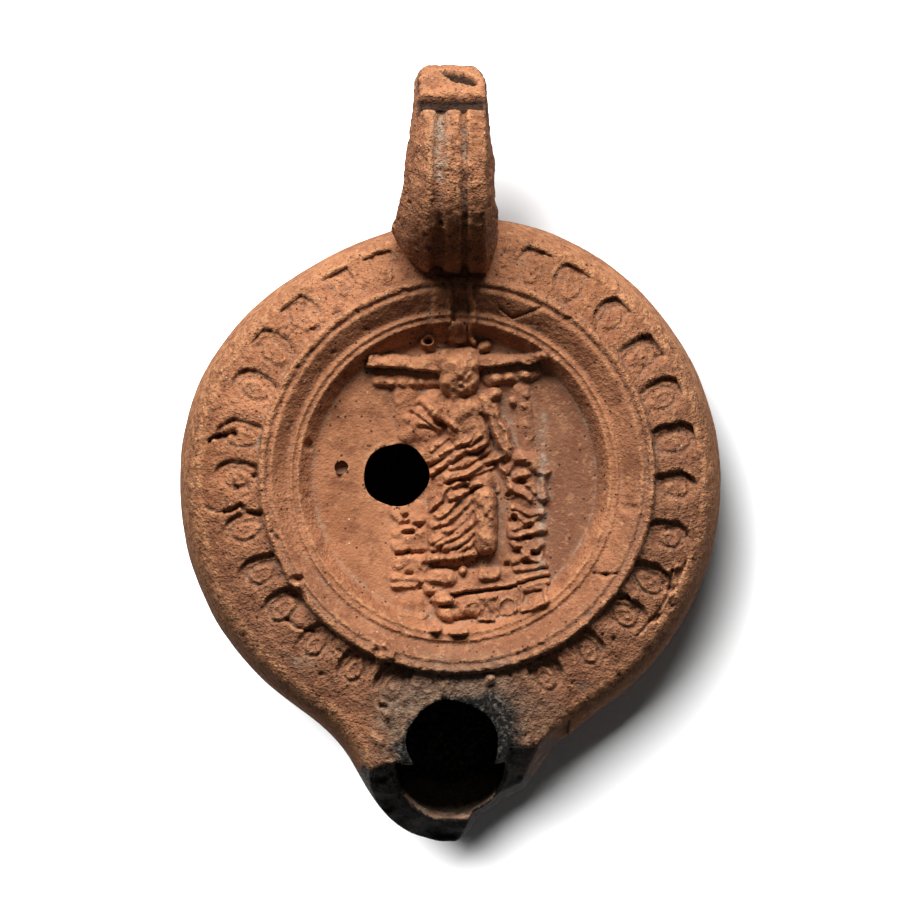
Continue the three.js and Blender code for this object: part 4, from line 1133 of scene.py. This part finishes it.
# Greyer clay on the right of the discus. The lower and right shoulder are darker as painted shade, in place
# of the stamps' shadows.
greyer_and_shade = smoothstep(-6.0, 16.0, x) * (1 - smoothstep(19.5, 22.0, radius))
lower = np.maximum(smoothstep(4.0, 28.0, x - 0.5 * np.maximum(y, 0)), smoothstep(2.0, -22.0, y))
greyer_and_shade = np.maximum(greyer_and_shade, 0.75 * lower * smoothstep(22.0, 27.0, radius) * (y > -34))
# Painted shade: near-black paint inside the chamber, where shade falls. The broken edges are darkened too.
inside_shade_and_dark_breaks = ((radius < 33.5) & (z < 21.0) & (z > 4.0)).astype(float)
inside_shade_and_dark_breaks[normals[:, 2] < -0.5] = 0
inside_shade_and_dark_breaks = np.maximum(inside_shade_and_dark_breaks, 0.9 * broken * (1 - inner_front))
MASKS = {
    "dust_and_painted_light": dust_and_painted_light,
    "wear": wear,
    "painted_shade": painted_shade,
    "soot": soot,
    "smoke": smoke,
    "slip_and_side_shade": slip_and_side_shade,
    "grain": grain,
    "greyer_and_shade": greyer_and_shade,
    "inside_shade_and_dark_breaks": inside_shade_and_dark_breaks,
}

# %% Keep the masks on the mesh
for name, values in MASKS.items():
    layer = mesh.attributes.new(name, "FLOAT", "POINT")
    layer.data.foreach_set("value", np.clip(values, 0, 1).astype(np.float32))
    print(f"{name}: mean {np.clip(values, 0, 1).mean():.3f}")

# %% Bring the lamp to metres and give it its place in the frame
mesh.transform(Matrix.Scale(MM, 4))
mesh.shade_smooth()
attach(lamp_clay, "root")
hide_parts("lamp")

# %% [markdown]
# ### Terracotta
#
# The real finish is terracotta, low-fired clay with a thin worn slip: matt, granular, orange-brown where
# rubbed, greyer where dust has settled, and black with soot at the flame. Its colours are mixed from the
# measured attributes and from noise at the size of the real grit, so no picture is needed. Some of those
# attributes paint shade and light into the colour: dark in the handle's grooves and pits, inside the chamber,
# on the side and on the lower shoulder, pale on the nozzle's inner front wall, and highlights on the figure.

# %% Colours and nodes
def linear(hex_colour):
    """An sRGB hex colour as linear red, green, blue and alpha."""
    channels = [int(hex_colour[i : i + 2], 16) / 255 for i in (1, 3, 5)]
    return [c / 12.92 if c <= 0.04045 else ((c + 0.055) / 1.055) ** 2.4 for c in channels] + [1.0]


def add_node(tree, kind, inputs=None, **settings):
    """Adds a node, sets its properties, then links or sets its inputs by name or number."""
    node = tree.nodes.new(kind)
    for name, value in settings.items():
        setattr(node, name, value)
    for name, value in (inputs or {}).items():
        socket = node.inputs[name]
        if isinstance(value, bpy.types.NodeSocket):
            tree.links.new(value, socket)
        else:
            socket.default_value = value
    return node


# %% Terracotta material
GRIT = 0.35  # mm, the larger grains
GRAIN = 0.16  # mm, as fine as the render shows
BUMP = 0.42  # mm


def terracotta():
    material = bpy.data.materials.new("terracotta_fired_clay")
    material.use_nodes = True
    tree = material.node_tree
    shader = tree.nodes["Principled BSDF"]
    place = add_node(tree, "ShaderNodeTexCoord").outputs["Object"]

    def speckle(lump_mm, detail=3.0, rough=0.6):
        node = add_node(
            tree,
            "ShaderNodeTexNoise",
            {"Vector": place, "Scale": 1 / (lump_mm * MM), "Detail": detail, "Roughness": rough},
        )
        return node.outputs["Fac"]

    def ramp(value, low, high):
        node = add_node(
            tree,
            "ShaderNodeMapRange",
            {"Value": value, "From Min": low, "From Max": high},
            interpolation_type="SMOOTHSTEP",
        )
        return node.outputs["Result"]

    def times(a, b):
        return add_node(tree, "ShaderNodeMath", {0: a, 1: b}, operation="MULTIPLY").outputs[0]

    def plus(a, b):
        return add_node(tree, "ShaderNodeMath", {0: a, 1: b}, operation="ADD").outputs[0]

    def paint(under, over, amount):
        node = add_node(
            tree, "ShaderNodeMix", {"Factor": amount, 6: under, 7: over}, data_type="RGBA", clamp_factor=True
        )
        return node.outputs[2]

    def mask(name):
        return add_node(tree, "ShaderNodeAttribute", attribute_name=name).outputs["Fac"]

    colour = paint(linear("#9e6645"), linear("#bb7d58"), ramp(speckle(13.0), 0.38, 0.62))
    # Greyer clay on the right of the discus, and painted shade on the lower and right shoulder.
    colour = paint(colour, linear("#7d5540"), times(mask("greyer_and_shade"), 0.75))
    # Darker slip on the side, which is also painted shade on the side walls and the left edge.
    colour = paint(colour, linear("#804a2c"), times(mask("slip_and_side_shade"), 0.85))
    colour = paint(colour, linear("#7d4c34"), times(ramp(speckle(2.6), 0.48, 0.66), 0.6))
    colour = paint(colour, linear("#c08a64"), times(ramp(speckle(0.9), 0.52, 0.68), 0.5))
    # Lighter orange where rubbed, and also a painted highlight on edges and on the raised figure.
    colour = paint(colour, linear("#d09468"), times(mask("wear"), ramp(speckle(1.0), 0.30, 0.65)))
    # Pale dust in hollows, and painted light on the inner face of the nozzle's front wall.
    colour = paint(colour, linear("#a8937f"), times(mask("dust_and_painted_light"), ramp(speckle(1.6), 0.30, 0.65)))
    shaded_grain = times(ramp(speckle(0.42, 2.0), 0.56, 0.68), times(mask("grain"), 0.9))
    colour = paint(colour, linear("#4d3224"), shaded_grain)
    grains = add_node(tree, "ShaderNodeTexVoronoi", {"Vector": place, "Scale": 1 / (GRIT * 2 * MM)})
    chance = grains.outputs["Color"]
    pale = times(ramp(grains.outputs["Distance"], 0.24, 0.12), ramp(chance, 0.84, 0.90))
    colour = paint(colour, linear("#e0cdb4"), times(pale, 0.8))
    dark = times(ramp(grains.outputs["Distance"], 0.34, 0.2), ramp(chance, 0.24, 0.18))
    colour = paint(colour, linear("#2a1a12"), times(dark, 0.8))
    grey = paint(linear("#4a443d"), linear("#94846f"), ramp(speckle(1.0), 0.35, 0.70))
    colour = paint(colour, grey, times(mask("smoke"), 0.66))
    ash = paint(linear("#1b1816"), linear("#71685f"), ramp(speckle(0.7), 0.44, 0.74))
    sooty = ramp(plus(mask("soot"), times(plus(speckle(0.6), -0.5), 0.9)), 0.30, 0.80)
    colour = paint(colour, ash, sooty)
    # Near-black painted shade in the handle's cross groove, chip and front, and in deep pits.
    colour = paint(colour, linear("#140f0c"), times(mask("painted_shade"), 0.9))
    # Painted shade inside the chamber, and darker broken edges.
    colour = paint(colour, linear("#15100e"), times(mask("inside_shade_and_dark_breaks"), 0.85))
    tree.links.new(colour, shader.inputs["Base Color"])
    shader.inputs["Roughness"].default_value = 0.9
    shader.inputs["Specular IOR Level"].default_value = 0.25
    shader.inputs["IOR"].default_value = 1.5
    grit = plus(times(speckle(0.8, 2.0), 0.8), times(speckle(GRIT * 1.4, 2.0), 0.9))
    height = plus(grit, times(speckle(GRAIN * 1.5, 2.0, 0.7), 0.5))
    height = plus(height, times(ramp(grains.outputs["Distance"], 0.35, 0.1), 0.25))
    strength = plus(0.32, times(mask("grain"), 0.68))
    bump = add_node(tree, "ShaderNodeBump", {"Height": height, "Strength": strength, "Distance": BUMP * MM})
    tree.links.new(bump.outputs["Normal"], shader.inputs["Normal"])
    return material


lamp_clay.data.materials.clear()
lamp_clay.data.materials.append(terracotta())

# %% [markdown]
# ### Table, light and camera
#
# The lamp lies on a white table and is seen from straight above. A wide soft light low behind the handle
# rakes across the clay, so that the relief throws shadows. In the photograph the table was whitened and
# shows only a soft shadow at the lower right, so the table has a light of its own, higher and from the
# left, and the raking light falls on the lamp alone. A faint room light fills the shadows.

# %% White table
TABLE_HALF = 3.0  # metres


def white_table():
    bm = bmesh.new()
    bmesh.ops.create_grid(bm, x_segments=1, y_segments=1, size=TABLE_HALF)
    table = object_of(bm, "table")
    material = bpy.data.materials.new("white_card")
    material.use_nodes = True
    shader = material.node_tree.nodes["Principled BSDF"]
    shader.inputs["Base Color"].default_value = linear("#f7f7f7")
    shader.inputs["Roughness"].default_value = 0.9
    table.data.materials.append(material)
    return table


table = white_table()


# %% Lights
LIGHT_DISTANCE = 1.0  # metres
AIM_HEIGHT = 0.02
ROOM_LIGHT = 0.045


def softbox(name, bearing, elevation, size, watts, lit):
    """A light of a given width and height aimed at the lamp. bearing counts from +X towards +Y."""
    light = bpy.data.lights.new(name, "AREA")
    light.shape = "RECTANGLE"
    light.size, light.size_y = size
    light.energy = watts
    box = bpy.data.objects.new(name, light)
    turn, rise = math.radians(bearing), math.radians(elevation)
    aim = Vector((math.cos(rise) * math.cos(turn), math.cos(rise) * math.sin(turn), math.sin(rise)))
    box.location = aim * LIGHT_DISTANCE + Vector((0, 0, AIM_HEIGHT))
    box.rotation_euler = aim.to_track_quat("Z", "Y").to_euler()
    bpy.context.collection.objects.link(box)
    receivers = bpy.data.collections.new(f"lit by the {name}")
    receivers.objects.link(lit)
    box.light_linking.receiver_collection = receivers


softbox("raking light", 98, 36.5, (1.0, 0.24), 21, lamp_clay)
softbox("table light", 128, 58, (0.7, 0.7), 34, table)
table.visible_diffuse = False  # so that the whitened ground throws no light up under the lamp
world = bpy.data.worlds.new("studio")
world.use_nodes = True
background = world.node_tree.nodes["Background"]
background.inputs["Color"].default_value = linear("#ffffff")
background.inputs["Strength"].default_value = ROOM_LIGHT
bpy.context.scene.world = world
bpy.context.scene.view_settings.view_transform = "Standard"

# %% Camera
PHOTO_WIDTH = 128.6  # mm across the photograph at the height of the rim
PHOTO_CENTRE = (-1.0, 3.6)  # mm, where its middle lies
CAMERA_HEIGHT = 700.0
SENSOR = 36.0
NEAREST_SEEN = 0.01  # metres

camera_data = bpy.data.cameras.new("camera")
camera_data.sensor_width = SENSOR
camera_data.lens = SENSOR * (CAMERA_HEIGHT - RIM_FOOT_HEIGHT) / PHOTO_WIDTH
camera_data.clip_start = NEAREST_SEEN
camera = bpy.data.objects.new("camera", camera_data)
camera.location = (PHOTO_CENTRE[0] * MM, PHOTO_CENTRE[1] * MM, CAMERA_HEIGHT * MM)
bpy.context.collection.objects.link(camera)
bpy.context.scene.camera = camera
